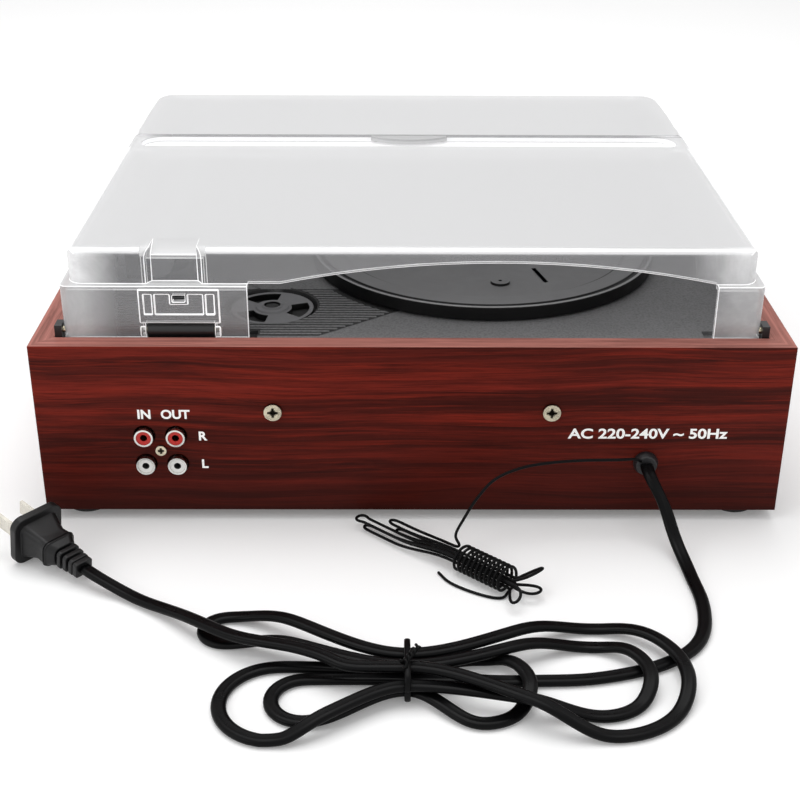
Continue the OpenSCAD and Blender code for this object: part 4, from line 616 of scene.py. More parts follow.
class Nodes:
    """A node tree. Each call adds a node, linked to what it is given, and returns its output"""

    def __init__(self, tree):
        self.tree = tree

    def give(self, node, key, value):
        """Sets an input to a number or links it to a socket."""
        if isinstance(value, bpy.types.NodeSocket):
            self.tree.links.new(value, node.inputs[key])
        else:
            node.inputs[key].default_value = value

    def put(self, kind, inputs, **attributes):
        """A node with its attributes and inputs set; returns its outputs."""
        node = self.tree.nodes.new(kind)
        for key, value in attributes.items():
            setattr(node, key, value)
        for key, value in inputs.items():
            self.give(node, key, value)
        return node.outputs

    def blend(self, factor, a, b):
        """Colour a turning into colour b."""
        return self.put("ShaderNodeMix", {0: factor, 6: a, 7: b}, data_type="RGBA")[2]

    def between(self, factor, a, b):
        """Value a turning into value b."""
        return self.put("ShaderNodeMix", {0: factor, 2: a, 3: b})[0]

    def sums(self, operation, a, b=0.0):
        """A sum on two values."""
        return self.put("ShaderNodeMath", {0: a, 1: b}, operation=operation)[0]

    def times(self, *values):
        """The product of values."""
        return functools.reduce(lambda a, b: self.sums("MULTIPLY", a, b), values)

    def most(self, *values):
        """The largest of values."""
        return functools.reduce(lambda a, b: self.sums("MAXIMUM", a, b), values)

    def rest(self, value):
        """What a value leaves of 1."""
        return self.sums("SUBTRACT", 1.0, value)

    def spread(self, value, low_in, high_in, low_out=0.0, high_out=1.0):
        """A value carried from one range to another, held at the ends."""
        return self.put("ShaderNodeMapRange", {0: value, 1: low_in, 2: high_in, 3: low_out, 4: high_out})[0]

    def within(self, value, start, end, soft):
        """1 between start and end, falling to 0 over soft at both."""
        return self.times(self.spread(value, start - soft, start + soft),
                          self.spread(value, end - soft, end + soft, 1.0, 0.0))

    def noise(self, vector, scale, detail=4.0, roughness=0.5, stretch=None, distortion=0.0):
        """Noise at a scale per metre, stretched by a mapping where that is given."""
        if stretch is not None:
            vector = self.put("ShaderNodeMapping", {"Vector": vector, "Scale": stretch})[0]
        return self.put("ShaderNodeTexNoise", {"Vector": vector, "Scale": scale, "Detail": detail,
                                               "Roughness": roughness, "Distortion": distortion})[0]

    def parts(self, vector):
        """The X, Y and Z of a vector."""
        return self.put("ShaderNodeSeparateXYZ", {0: vector})

    def vectors(self, operation, a, b=(0, 0, 0)):
        """A sum on two vectors; returns its outputs."""
        return self.put("ShaderNodeVectorMath", {0: a, 1: b}, operation=operation)

    def ray(self, kind):
        """1 for rays of a kind."""
        return self.put("ShaderNodeLightPath", {})[f"Is {kind} Ray"]

    def seen(self):
        """1 for rays from the camera and their mirror images, 0 for the light that falls on things."""
        return self.most(*(self.ray(kind) for kind in ("Camera", "Glossy", "Transmission")))


class Finish(Nodes):
    """A new material, with its Principled shader, the object's coordinates and the normal"""

    def __init__(self, name):
        self.material = bpy.data.materials.new(name)
        self.material.use_nodes = True
        super().__init__(self.material.node_tree)
        self.shader = next(n for n in self.tree.nodes if n.type == "BSDF_PRINCIPLED")
        where = self.put("ShaderNodeTexCoord", {})
        self.at, self.normal = where["Object"], where["Normal"]

    def feed(self, **values):
        """Gives the shader its inputs, with underscores for spaces; returns the material."""
        for key, value in values.items():
            self.give(self.shader, key.replace("_", " "), value)
        return self.material

    def bump(self, height, strength, distance):
        """Carries a height to the shader's normal."""
        inputs = {"Strength": strength, "Distance": distance, "Height": height}
        self.feed(Normal=self.put("ShaderNodeBump", inputs)[0])

    def glow(self, value):
        """Adds light of its own to the surface."""
        grey = self.put("ShaderNodeCombineColor", {0: value, 1: value, 2: value})[0]
        self.feed(Emission_Color=grey, Emission_Strength=1.0)

    def effect(self, name, **inputs):
        """The outputs of a shared effect."""
        return self.put("ShaderNodeGroup", inputs, node_tree=bpy.data.node_groups[name])

    def upward(self):
        """1 where a face looks up and 0 where it stands."""
        return self.spread(self.parts(self.normal)[2], 0.5, 0.8)

    def clear(self, alpha):
        """An alpha that lets most of the light through to what lies behind."""
        return self.times(alpha, self.spread(self.ray("Shadow"), 0, 1, 1.0, 0.3))

    def distance(self, centre, across):
        """Distance from a straight line through a centre; across has 0 for the line's own direction."""
        away = self.vectors("SUBTRACT", self.at, tuple(centre))[0]
        return self.vectors("LENGTH", self.vectors("MULTIPLY", away, across)[0])["Value"]


def new_group(name, inputs, outputs):
    """An empty shader group. Its inputs are named with their kinds, and its outputs are values."""
    tree = bpy.data.node_groups.new(name, "ShaderNodeTree")
    for label, kind in inputs.items():
        tree.interface.new_socket(name=label, in_out="INPUT", socket_type=kind)
    for label in outputs:
        tree.interface.new_socket(name=label, in_out="OUTPUT", socket_type="NodeSocketFloat")
    return Nodes(tree), tree.nodes.new("NodeGroupInput").outputs, tree.nodes.new("NodeGroupOutput")


def moulded_group(name):
    """Moulded skin: a fine height, slow changes of tone, and smudges from handling."""
    kinds = {"Vector": "NodeSocketVector", "Grain": "NodeSocketFloat"}
    n, given, made = new_group(name, kinds, ("Height", "Tone", "Smudge"))
    at = given["Vector"]
    n.give(made, "Height", n.noise(at, given["Grain"], 3.0))
    n.give(made, "Tone", n.noise(at, 26.0, 5.0, 0.6))
    n.give(made, "Smudge", n.spread(n.noise(at, 55.0, 6.0, 0.65, distortion=0.6), 0.38, 0.68))


# Layers of the timber: detail, roughness, stretch, distortion, and the range of the noise that is used
TIMBER = {
    "Band": (5.0, 0.62, (2.0, 85.0, 85.0), 0.4, 0.4, 0.58),
    "Streak": (9.0, 0.72, (13.0, 430.0, 430.0), 0.6, 0.36, 0.62),
    "Flame": (8.0, 0.7, (12.0, 520.0, 520.0), 0.5, 0.48, 0.72),
    "Pore": (4.0, 0.65, (40.0, 1300.0, 1300.0), 0.0, 0.48, 0.66),
}


def timber_group(name):
    """Timber with its grain along X: broad bands, long streaks, thin bright flames and short pores."""
    n, given, made = new_group(name, {"Vector": "NodeSocketVector"}, TIMBER)
    sway = n.times(n.noise(given["Vector"], 7.0, 2.0), 0.012)
    at = n.vectors("ADD", given["Vector"], n.put("ShaderNodeCombineXYZ", {2: sway})[0])[0]
    for label, (detail, rough, stretch, twist, start, end) in TIMBER.items():
        n.give(made, label, n.spread(n.noise(at, 1.0, detail, rough, stretch, twist), start, end))


def make_groups():
    """Builds the shared effects once."""
    for name, maker in (("moulded skin", moulded_group), ("timber", timber_group)):
        if name not in bpy.data.node_groups:
            maker(name)


def pit_shade(level):
    """Painted shade in recesses: a tint that turns everything below a level, along Y from the rear, nearly
    black.
    """
    def tint(n, base):
        _, y, z = n.parts(n.at)
        recess_shade = n.times(n.spread(y, level - LINE, level + LINE, 1.0, 0.0), n.spread(z, *ABOVE_FEET))
        return n.blend(n.times(recess_shade, 0.93), base, paint(10, 9, 9))
    return tint


def screw_head_shade(n, base):
    """Painted shade: the cross recesses, and the middles of the rear heads round them, lie dark."""
    base = pit_shade(REAR + SCREW_DEPTH)(n, base)
    for x, z, radius in REAR_SCREWS:
        near = n.distance((x * MM, 0, z * MM), (1, 0, 1))
        middle_shade = n.spread(near, (radius - 0.35) * MM, (radius + 0.35) * MM, 0.95, 0.0)
        base = n.blend(middle_shade, base, paint(26, 23, 19))
    return base


def shaded_sides(n, base):
    """Painted shade: standing faces turn nearly black."""
    return n.blend(n.upward(), paint(7, 7, 8), base)


def platter_ring_shading(n, base):
    """Painted highlights and shade in rings round the hub: a pale lip, a dark groove, and a dark step with a
    pale line outside it.
    """
    radius = n.distance(middle("spindle"), (1, 1, 0))
    outer = (high("platter")[0] - low("platter")[0]) / 2
    for start, end, grey, share in RING_SHADING:
        ring = n.within(radius, outer - end * MM, outer - start * MM, 0.2 * MM)
        base = n.blend(n.times(ring, share), base, paint(grey, grey, grey + 1))
    return shaded_sides(n, base)


def deck_speckle_and_rib_shade(n, base):
    """A fine speckle; painted shade makes the low places between the ribs, and the adapter's well, lie dark.
    """
    speck = n.spread(n.noise(n.at, 950.0, 2.0, 0.6), 0.42, 0.66, 0.0, 0.4)
    base = n.blend(speck, base, paint(58, 58, 59))
    x, y, z = n.parts(n.at)
    slant = n.sums("ADD", x, n.times(n.sums("SUBTRACT", RIBS_REAR, y), RIBS_SLANT))
    ribs = n.times(n.spread(slant, *RIBS_EDGE), n.within(y, *RIBS_Y, 0.3 * MM))
    rib_shade = n.times(ribs, n.spread(z, DECK + 0.15 * MM, DECK + 0.45 * MM, 1.0, 0.0))
    return n.blend(n.times(rib_shade, 0.88), base, paint(12, 12, 13))


def moulded(name, colour, roughness, grain=2200.0, relief=0.25, depth=0.05 * MM, tone=0.16, tint=None,
            **inputs):
    """Plastic, rubber or paint: the moulded skin gives its tone, gloss and fine relief.
    tint changes the colour by place."""
    n = Finish(name)
    skin = n.effect("moulded skin", Vector=n.at, Grain=grain)
    base = n.blend(skin["Tone"], scaled(colour, 1 - tone), scaled(colour, 1 + tone))
    n.bump(skin["Height"], relief, depth)
    return n.feed(Base_Color=tint(n, base) if tint else base,
                  Roughness=n.spread(skin["Smudge"], 0, 1, roughness - SMUDGE, roughness + SMUDGE), **inputs)


def metal(name, colour, roughness, stretch=(300.0, 300.0, 300.0), tarnish=0.3, tint=None):
    """Plated or drawn metal: fine lines in its gloss, and a darker tarnish in patches."""
    n = Finish(name)
    lines = n.noise(n.at, 1.0, 4.0, 0.6, stretch)
    patch = n.spread(n.noise(n.at, 380.0, 5.0, 0.6), 0.42, 0.7, 0.0, tarnish)
    base = n.blend(patch, scaled(colour, 1), scaled(colour, 0.45))
    n.bump(lines, 0.08, 0.03 * MM)
    return n.feed(Base_Color=tint(n, base) if tint else base, Metallic=1.0,
                  Roughness=n.spread(lines, 0.3, 0.7, roughness - 0.07, roughness + 0.09))


def timber(name, finish, turn):
    """Printed cherry: dark bands and thin bright flames along the board, painted shade that darkens it
    towards the bottom, and a paler band on the upper edges as a painted highlight. turn is the grain's angle
    from X."""
    n = Finish(name)
    turned = n.put("ShaderNodeMapping", {"Vector": n.at, "Rotation": (0, 0, turn)})[0]
    grain = n.effect("timber", Vector=turned)
    # Painted shade: the board darkens towards the bottom
    foot_shade = n.spread(n.parts(n.at)[2], 6 * MM, 55 * MM, 0.85, 0.0)
    face = scaled(finish.wood_mid, 1)
    for factor, colour, share in (
            (n.times(n.rest(grain["Band"]), 0.92), finish.wood_dark, 1),
            (n.times(n.rest(grain["Streak"]), 0.55), finish.wood_dark, 0.8),
            (n.times(grain["Flame"], 0.7), finish.wood_light, 1),
            (n.times(grain["Pore"], 0.5), finish.wood_dark, 0.6),
            (foot_shade, finish.wood_dark, 0.7)):
        face = n.blend(factor, face, scaled(colour, share))
    # Painted highlight: the upward faces take the paler rim colour, as where the light above falls and shines
    # on them
    rim = n.blend(grain["Streak"], scaled(finish.rim, 0.55), scaled(finish.rim, 1.15))
    n.bump(n.sums("SUBTRACT", grain["Streak"], grain["Pore"]), 0.1, 0.05 * MM)
    return n.feed(Base_Color=n.blend(n.upward(), face, rim), Specular_IOR_Level=0.07,
                  Roughness=n.spread(grain["Streak"], 0, 1, 0.5, 0.4))


def plain_wood(name, colour):
    """Unfinished plywood: the same grain in pale tones."""
    n = Finish(name)
    grain = n.effect("timber", Vector=n.at)
    n.bump(grain["Streak"], 0.2, 0.1 * MM)
    return n.feed(Base_Color=n.blend(grain["Streak"], scaled(colour, 0.7), scaled(colour, 1.1)),
                  Roughness=n.spread(grain["Band"], 0, 1, 0.7, 0.55))


def clear_lid(name, finish):
    """Clear moulding: thin walls, hazier and glowing towards both ends as a painted reflection, grey where
    seen edge on, a cloudy top, rounded edges painted white and glowing, a trough painted white and glowing,
    and a grey finger tab."""
    n = Finish(name)
    x, y, z = n.parts(n.at)
    level = n.sums("ABSOLUTE", n.parts(n.normal)[2])
    cloud = n.spread(n.noise(n.at, 30.0, 6.0, 0.62, distortion=0.6), 0.36, 0.64)
    hood = n.spread(z, LID_STEP - 0.5 * MM, LID_STEP + 0.5 * MM)
    scoop = n.times(n.within(x, *SCOOP_X, 0.2 * MM), n.spread(y, *SCOOP_Y))
    top = n.most(n.spread(level, 0.9, 0.98), n.times(scoop, n.spread(level, 0.2, 0.35)))
    # Painted highlight: the rounded edges turn white, more solid and glowing
    turn = n.times(n.spread(level, 0.45, 0.7), n.spread(level, 0.9, 0.98, 1.0, 0.0),
                   n.spread(scoop, 0, 1, 1.0, 0.15))
    # Painted reflection: towards both ends the walls turn paler and more solid, and glow
    ends = n.times(n.most(n.spread(x, *END_LEFT), n.spread(x, *END_RIGHT)),
                   n.spread(cloud, 0, 1, 0.55, 1.0), n.spread(hood, 0, 1, 0.55, 1.0))
    # Painted light: the trough turns white, nearly solid and glowing
    trough = n.times(n.within(y, *TROUGH_Y, LINE), n.within(z, *TROUGH_Z, LINE))
    tab = n.times(n.spread(n.sums("ABSOLUTE", x), TAB_HALF - LINE, TAB_HALF + LINE, 1.0, 0.0),
                  n.within(y, *TAB_Y, LINE), n.within(z, *TAB_Z, LINE))
    edge_on = n.put("ShaderNodeLayerWeight", {"Blend": 0.5})["Facing"]
    rim = n.spread(edge_on, 0.64, 0.92, 0.0, 0.85)
    wall = n.between(ends, n.spread(cloud, 0, 1, 0.42, 0.5), 0.95)
    haze = n.between(top, n.most(wall, rim), 0.76)
    white = n.times(turn, 0.9)
    tint = n.blend(ends, paint(156, 156, 158), scaled(finish.lid, 1))
    for factor, share in ((rim, 0.5), (top, 0.83), (n.most(white, trough), 1.1), (tab, 0.55)):
        tint = n.blend(factor, tint, scaled(finish.lid, share))
    # Painted light: a glow on the rounded edges, the ends' walls and the trough
    n.glow(n.most(n.times(white, 0.22), n.times(ends, n.spread(top, 0, 1, 0.15, 0.0)), n.times(trough, 0.12)))
    n.bump(n.noise(n.at, 900.0, 3.0), 0.04, 0.05 * MM)
    return n.feed(Alpha=n.clear(n.most(haze, white, n.times(n.most(trough, tab), 0.9))), Base_Color=tint,
                  Roughness=n.spread(top, 0, 1, 0.14, 0.34), Specular_IOR_Level=0.6)


def lid_edge_highlight(name, finish):
    """The moulding's rounded edges as painted highlights: white and glowing, a little uneven along their run,
    and grey round the trough."""
    n = Finish(name)
    uneven = n.spread(n.noise(n.at, 60.0, 4.0, 0.6), 0.3, 0.7)
    _, y, z = n.parts(n.at)
    lip = n.times(n.within(y, *LIP_Y, LINE), n.spread(z, *LIP_Z))
    white = n.blend(uneven, scaled(finish.lid, 0.95), scaled(finish.lid, 1.1))
    n.glow(n.times(n.spread(uneven, 0, 1, 0.38, 0.6), n.rest(lip)))
    return n.feed(Alpha=n.clear(n.spread(uneven, 0, 1, 0.8, 0.97)),
                  Base_Color=n.blend(lip, white, scaled(finish.lid, 0.55)),
                  Roughness=n.spread(uneven, 0, 1, 0.3, 0.18))


def clear_window(name):
    """Thin clear plastic with faint scratches in its gloss."""
    n = Finish(name)
    scratch = n.noise(n.at, 1.0, 6.0, 0.7, (40.0, 900.0, 900.0))
    return n.feed(Base_Color=paint(222, 230, 232), Roughness=n.spread(scratch, 0.3, 0.7, 0.05, 0.2),
                  Alpha=n.spread(scratch, 0.3, 0.8, 0.1, 0.2))


def sheath(name, colour):
    """Lead sheath: satin plastic with a faint grain and dull handled patches."""
    return moulded(name, colour, 0.34, grain=1500.0, relief=0.08, depth=0.04 * MM, tone=0.3,
                   Specular_IOR_Level=0.09)


def woven(name, colour):
    """Grille cloth: two crossed sets of threads."""
    n = Finish(name)
    threads = {"Vector": n.at, "Scale": 420.0, "Distortion": 0.4}
    weave = n.times(*(n.put("ShaderNodeTexWave", threads, bands_direction=axis)["Fac"] for axis in "XZ"))
    n.bump(weave, 0.5, 0.2 * MM)
    return n.feed(Base_Color=n.blend(weave, scaled(colour, 0.4), scaled(colour, 1.5)),
                  Roughness=n.spread(weave, 0, 1, 0.95, 0.7))


def wear(obj, material):
    """Gives a CAD node's slots, or a new piece, its material."""
    slots = obj.data.materials
    for i in range(len(slots)):
        slots[i] = material
    if not slots:
        slots.append(material)


def settle(obj, body, material):
    """A finished piece rides on its body and takes its slot and material."""
    wear(obj, material)
    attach(obj, body)


# Operators


class RECORD_PLAYER_OT_stage(bpy.types.Operator):
    """Sets the camera, the pale floor and the soft light"""

    bl_idname = "record_player.stage"
    bl_label = "Stage"

    def execute(self, context):
        stage = context.scene.record_player_stage
        forward = Vector((math.sin(stage.yaw) * math.cos(stage.pitch),
                          -math.cos(stage.yaw) * math.cos(stage.pitch), -math.sin(stage.pitch)))
        right = Vector((-math.cos(stage.yaw), -math.sin(stage.yaw), 0))
        up = right.cross(forward)
        leaned_right = math.cos(stage.roll) * right + math.sin(stage.roll) * up
        leaned_up = math.cos(stage.roll) * up - math.sin(stage.roll) * right
        data = bpy.data.cameras.new("camera")
        data.lens, data.sensor_width = stage.lens, 36
        camera = show("camera", data)
        turn = Matrix((leaned_right, leaned_up, -forward)).transposed().to_4x4()
        camera.matrix_world = Matrix.Translation(Vector(stage.place)) @ turn
        context.scene.camera = camera
        self.add_floor(stage)
        self.add_light(context, stage)
        context.scene.view_settings.view_transform = "Standard"
        return {"FINISHED"}

    def add_floor(self, stage):
        """A level sheet that turns up into a backdrop: z = 0, then a smooth rise far beyond the object."""
        x = np.array([[FLOOR_HALF, -FLOOR_HALF]])
        y = np.linspace(FLOOR_NEAR, FLOOR_FAR, 90)[:, None]
        z = RISE * ease((RISE_FROM - y) / RISE_RUN)
        floor = put_grid("floor", np.stack(np.broadcast_arrays(x, y, z), axis=-1))
        n = Finish("pale floor")
        n.glow(n.spread(n.seen(), 0, 1, 0.0, stage.lift))
        base = n.blend(n.noise(n.at, 3.0), scaled(stage.floor, 0.985), scaled(stage.floor, 1.015))
        floor.data.materials.append(n.feed(Base_Color=base, Roughness=0.9, Specular_IOR_Level=0.1))

    def add_light(self, context, stage):
        """An even world, a large sheet of light overhead and a weaker one from the camera's left."""
        world = bpy.data.worlds.new("studio")
        context.scene.world = world
        world.use_nodes = True
        n = Nodes(world.node_tree)
        ground = next(node for node in n.tree.nodes if node.type == "BACKGROUND")
        n.give(ground, "Strength", n.spread(n.seen(), 0, 1, stage.ambient, 1.0))
        n.give(ground, "Color", (1, 1, 1, 1))
        for name, (place, target, size, power) in LAMPS.items():
            light = bpy.data.lights.new(name, "AREA")
            light.size, light.energy = size, power
            lamp = show(name, light)
            lamp.location = place
            lamp.rotation_euler = (Vector(target) - Vector(place)).to_track_quat("-Z", "Y").to_euler()


class RECORD_PLAYER_OT_mains_lead(bpy.types.Operator):
    """Lays the flat mains lead from the gland through its hank to the plug"""

    bl_idname = "record_player.mains_lead"
    bl_label = "Mains lead"

    def execute(self, context):
        leads, finish = context.scene.record_player_leads, context.scene.record_player_finish
        path = even(np.vstack([mains_route(), hank_route(), plug_route()]), leads.ring_step / MM, 5) * MM
        path[:, 2] += (leads.thickness - LEAD_T * MM) / 2
        path[:, 1] = np.minimum(path[:, 1], high("mains_hank")[1] - leads.width / 2)
        across, up = twin_profile(leads.width, leads.thickness, leads.groove, 28)
        lead = put_tube("mains_cord", path, level_sides(path), across, up)
        settle(lead, BODY, sheath("mains sheath", finish.lead))
        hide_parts("mains_lead", "mains_hank", "plug_lead")
        plug = softened("plug", PLUG_EDGE)
        return {"FINISHED"}


class RECORD_PLAYER_OT_aerial(bpy.types.Operator):
    """Lays the aerial wire from the gland through its wound bundle to its loose end"""

    bl_idname = "record_player.aerial"
    bl_label = "Aerial wire"

    def execute(self, context):
        leads, finish = context.scene.record_player_leads, context.scene.record_player_finish
        path = even(aerial_route(), WIRE_STEP, 1) * MM
        wire = put_tube("aerial", path, carried_sides(path), *circle(leads.wire, 10))
        settle(wire, BODY, sheath("aerial sheath", finish.lead))
        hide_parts("aerial_wire", "aerial_hank")
        return {"FINISHED"}


class RECORD_PLAYER_OT_tie(bpy.types.Operator):
    """Ties the hank's waist with a covered wire whose ends are twisted together"""

    bl_idname = "record_player.tie"
    bl_label = "Hank tie"

    def execute(self, context):
        leads, finish = context.scene.record_player_leads, context.scene.record_player_finish
        lo, hi = low("hank_tie"), high("hank_tie")
        half_y, half_z = (hi[1] - lo[1]) / 2 - TIE_INSET * MM, (ROW + LEAD_T / 2 + 2 * TIE_INSET) * MM
        centre = np.array([HANK_AT[0] * MM, (lo[1] + hi[1]) / 2, lo[2] + half_z + TIE_INSET * MM])
        a = np.linspace(0, 2 * np.pi, 145)
        y, z = half_y * squared(np.cos(a), TIE_SQUARE), half_z * squared(np.sin(a), TIE_SQUARE)
        ring = even(centre + np.column_stack([0 * a, y, z]), TIE_STEP * MM, 2)
        across, up = circle(1.0, 12)
        loop = put_tube("tie_loop", ring, np.tile([1.0, 0.0, 0.0], (len(ring), 1)), across * TIE_BAND * MM,
                        up * leads.tie_wire * 0.85)
        settle(loop, BODY, sheath("tie cover", finish.lead))
        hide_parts("hank_tie")
        s = np.linspace(0, 1, 60)[:, None]
        apart = (0.75 + ease((s - 0.85) / 0.15)) * MM
        start = centre + [-4 * MM, -5 * MM, half_z + 1.0 * MM]
        way, side, lift = np.array([[0.42, 0.9, 0.04], [0.9, -0.42, 0.0], [-0.02, -0.04, 1.0]])
        for i in range(2):
            turn = np.pi * (i + TIE_TURNS * s)
            tail = start + TIE_END * MM * s * way + apart * (np.cos(turn) * side + np.sin(turn) * lift)
            end = put_tube(f"tie_end_{i + 1}", tail, carried_sides(tail), *circle(leads.tie_wire * 0.9, 8))
            settle(end, BODY, bpy.data.materials["tie cover"])
        return {"FINISHED"}


class RECORD_PLAYER_OT_lettering(bpy.types.Operator):
    """Prints the generic words on the rear, the dial and the deck"""

    bl_idname = "record_player.lettering"
    bl_label = "Lettering"

    def execute(self, context):
        # Painted light: the white print glows a little
        white = moulded("glowing white print", shade(252, 251, 248), 0.5, grain=4000.0, tone=0.04,
                        Emission_Color=(1, 1, 1, 1), Emission_Strength=0.16)
        ink = moulded("dark print", shade(40, 36, 30), 0.6, grain=4000.0, tone=0.1)
        behind, ahead, flat = np.array([[(-1, 0, 0), (0, 0, 1)], [(1, 0, 0), (0, 0, 1)],
                                        [(1, 0, 0), (0, 1, 0)]])
        rear, deck = REAR / MM + PRINT_GAP, DECK / MM + PRINT_GAP
        front, dial = (low(node)[1] / MM - PRINT_GAP for node in ("control_panel", "dial_scale"))
        dial_z = middle("dial_scale")[2] / MM
        volume, tuning, lever, stop = (
            middle(node) / MM for node in ("volume_knob", "tuning_knob", "speed_lever", "autostop_switch"))
        names_z = volume[2] - NAME_DROP
        rows = [
            ("mark_in", "IN", 4.5, (117.4, rear, 53.5), behind, white, 0.03),
            ("mark_out", "OUT", 4.5, (103.7, rear, 53.5), behind, white, 0.03),
            ("mark_right", "R", 4.4, (92.2, rear, 42.8), behind, white, 0.03),
            ("mark_left", "L", 4.4, (92.0, rear, 28.9), behind, white, 0.03),
            ("mark_mains", "AC 220-240V ~ 50Hz", 5.0, (-104, rear, 44.3), behind, white, 0.024, 70.5 * MM),
            ("mark_volume", "VOLUME", 2.2, (volume[0], front, names_z), ahead, white, 0.01),
            ("mark_function", "FUNCTION", 2.2, (0, front, names_z), ahead, white, 0.01),
            ("mark_tuning", "TUNING", 2.2, (tuning[0], front, names_z), ahead, white, 0.01),
            ("mark_bands", "FM   88    92    96    100    104    108   MHz", 2.6,
             (0, dial, dial_z + 3.6), ahead, ink, 0.005),
            ("mark_medium", "AM   530   650   800   1000   1300   1600  kHz", 2.6,
             (0, dial, dial_z - 4.6), ahead, ink, 0.005),
            ("mark_speeds", "33    45    78", 3.0, (lever[0] + 8, lever[1] + 9, deck), flat, white, 0.005),
            ("mark_autostop", "AUTO STOP", 2.4, (stop[0] + 3, lever[1] - 10, deck), flat, white, 0.005),
        ]
        for name, words, cap, centre, (right, up), material, *shape in rows:
            letters = put_letters(name, words, cap * MM, np.array(centre) * MM, right, up, *shape)
            settle(letters, BODY, material)
        self.add_ticks(dial * MM, dial_z * MM, ink)
        return {"FINISHED"}

    def add_ticks(self, y, z, ink):
        """Scale lines: upright strips at even steps along the dial, every fifth one longer."""
        half = (high("dial_window")[0] - low("dial_window")[0]) / 2 - TICK_ENDS
        x = np.linspace(-half, half, TICKS)[:, None]
        tall = np.where(np.arange(TICKS) % TICK_EVERY == 0, TICK_LONG, TICK_SHORT)[:, None]
        wide, up = np.array([[-1, 1, 1, -1], [0, 0, 1, 1]])
        points = np.stack(np.broadcast_arrays(
            x + wide * TICK_HALF, y - PRINT_GAP * MM, z - TICK_DROP + up * tall), axis=-1)
        faces = np.arange(TICKS * 4).reshape(TICKS, 4).tolist()
        settle(put_mesh("dial_ticks", points.reshape(-1, 3), faces, False), BODY, ink)


class RECORD_PLAYER_OT_grille_cloth(bpy.types.Operator):
    """Stretches cloth behind the slots of both speaker grilles"""

    bl_idname = "record_player.grille_cloth"
    bl_label = "Grille cloth"

    def execute(self, context):
        cloth = woven("grille cloth", shade(30, 30, 32))
        lo, hi = low("speaker_grilles"), high("speaker_grilles")
        half = (hi[2] - lo[2]) / 2
        share = np.linspace(0.02, 1, 12)[:, None]
        across, up = (share * v for v in circle(2 * (half - CLOTH_INSET), 48))
        y = hi[1] + CLOTH_GAP + CLOTH_SAG * (1 - share ** 2)
        for side, x in (("left", lo[0] + half), ("right", hi[0] - half)):
            grid = np.stack(np.broadcast_arrays(x + across, y, lo[2] + half + up), axis=-1)
            settle(put_grid(f"grille_cloth_{side}", grid, closed=True), BODY, cloth)
        return {"FINISHED"}


class RECORD_PLAYER_OT_jack_rings(bpy.types.Operator):
    """Draws the board's holes close round the four sockets"""

    bl_idname = "record_player.jack_rings"
    bl_label = "Socket holes"

    def execute(self, context):
        lo, hi = low("jack_shells"), high("jack_shells")
        insert_lo, insert_hi = low("red_jack_inserts"), high("red_jack_inserts")
        shell = hi[0] - insert_hi[0] + (insert_hi[2] - insert_lo[2]) / 2
        radius = shell + np.array([[HOLE_OUT], [HOLE_IN]])
        across, up = (radius * v for v in circle(2, 48))
        places = [(x, z) for x in (lo[0] + shell, hi[0] - shell) for z in (lo[2] + shell, hi[2] - shell)]
        for i, (x, z) in enumerate(places):
            grid = np.stack(np.broadcast_arrays(x + across, REAR + HOLE_GAP, z + up), axis=-1)
            settle(put_grid(f"socket_hole_{i + 1}", grid, closed=True), BODY,
                   bpy.data.materials["cherry across"])
        return {"FINISHED"}


class RECORD_PLAYER_OT_soft_edges(bpy.types.Operator):
    """Rounds the sharp edges of the boards and mouldings that the camera comes close to"""

    bl_idname = "record_player.soft_edges"
    bl_label = "Soft edges"

    def execute(self, context):
        for node in BOARDS:
            rounded_board(node, BOARD_RADIUS)
        for node, width in SOFT.items():
            softened(node, width * MM, flat=node == "deck_plate")
        return {"FINISHED"}


class RECORD_PLAYER_OT_lid(bpy.types.Operator):
    """Makes the clear lid, whose rounded edges carry painted highlights"""

    bl_idname = "record_player.lid"
    bl_label = "Lid"

    def execute(self, context):
        finish = context.scene.record_player_finish
        pins = (low("hinge_pins") - PIN_ROOM, high("hinge_pins") + PIN_ROOM, 0)
        zones = (pins, (*(HINGE_OPENING * MM), 0), (*(TROUGH_ZONE * MM), TROUGH_EDGE))
        lid = softened("lid_cover", LID_EDGE, 1, zones=zones)
        lid.data.materials.append(clear_lid("clear lid", finish))
        lid.data.materials.append(lid_edge_highlight("lid edge highlight", finish))
        return {"FINISHED"}


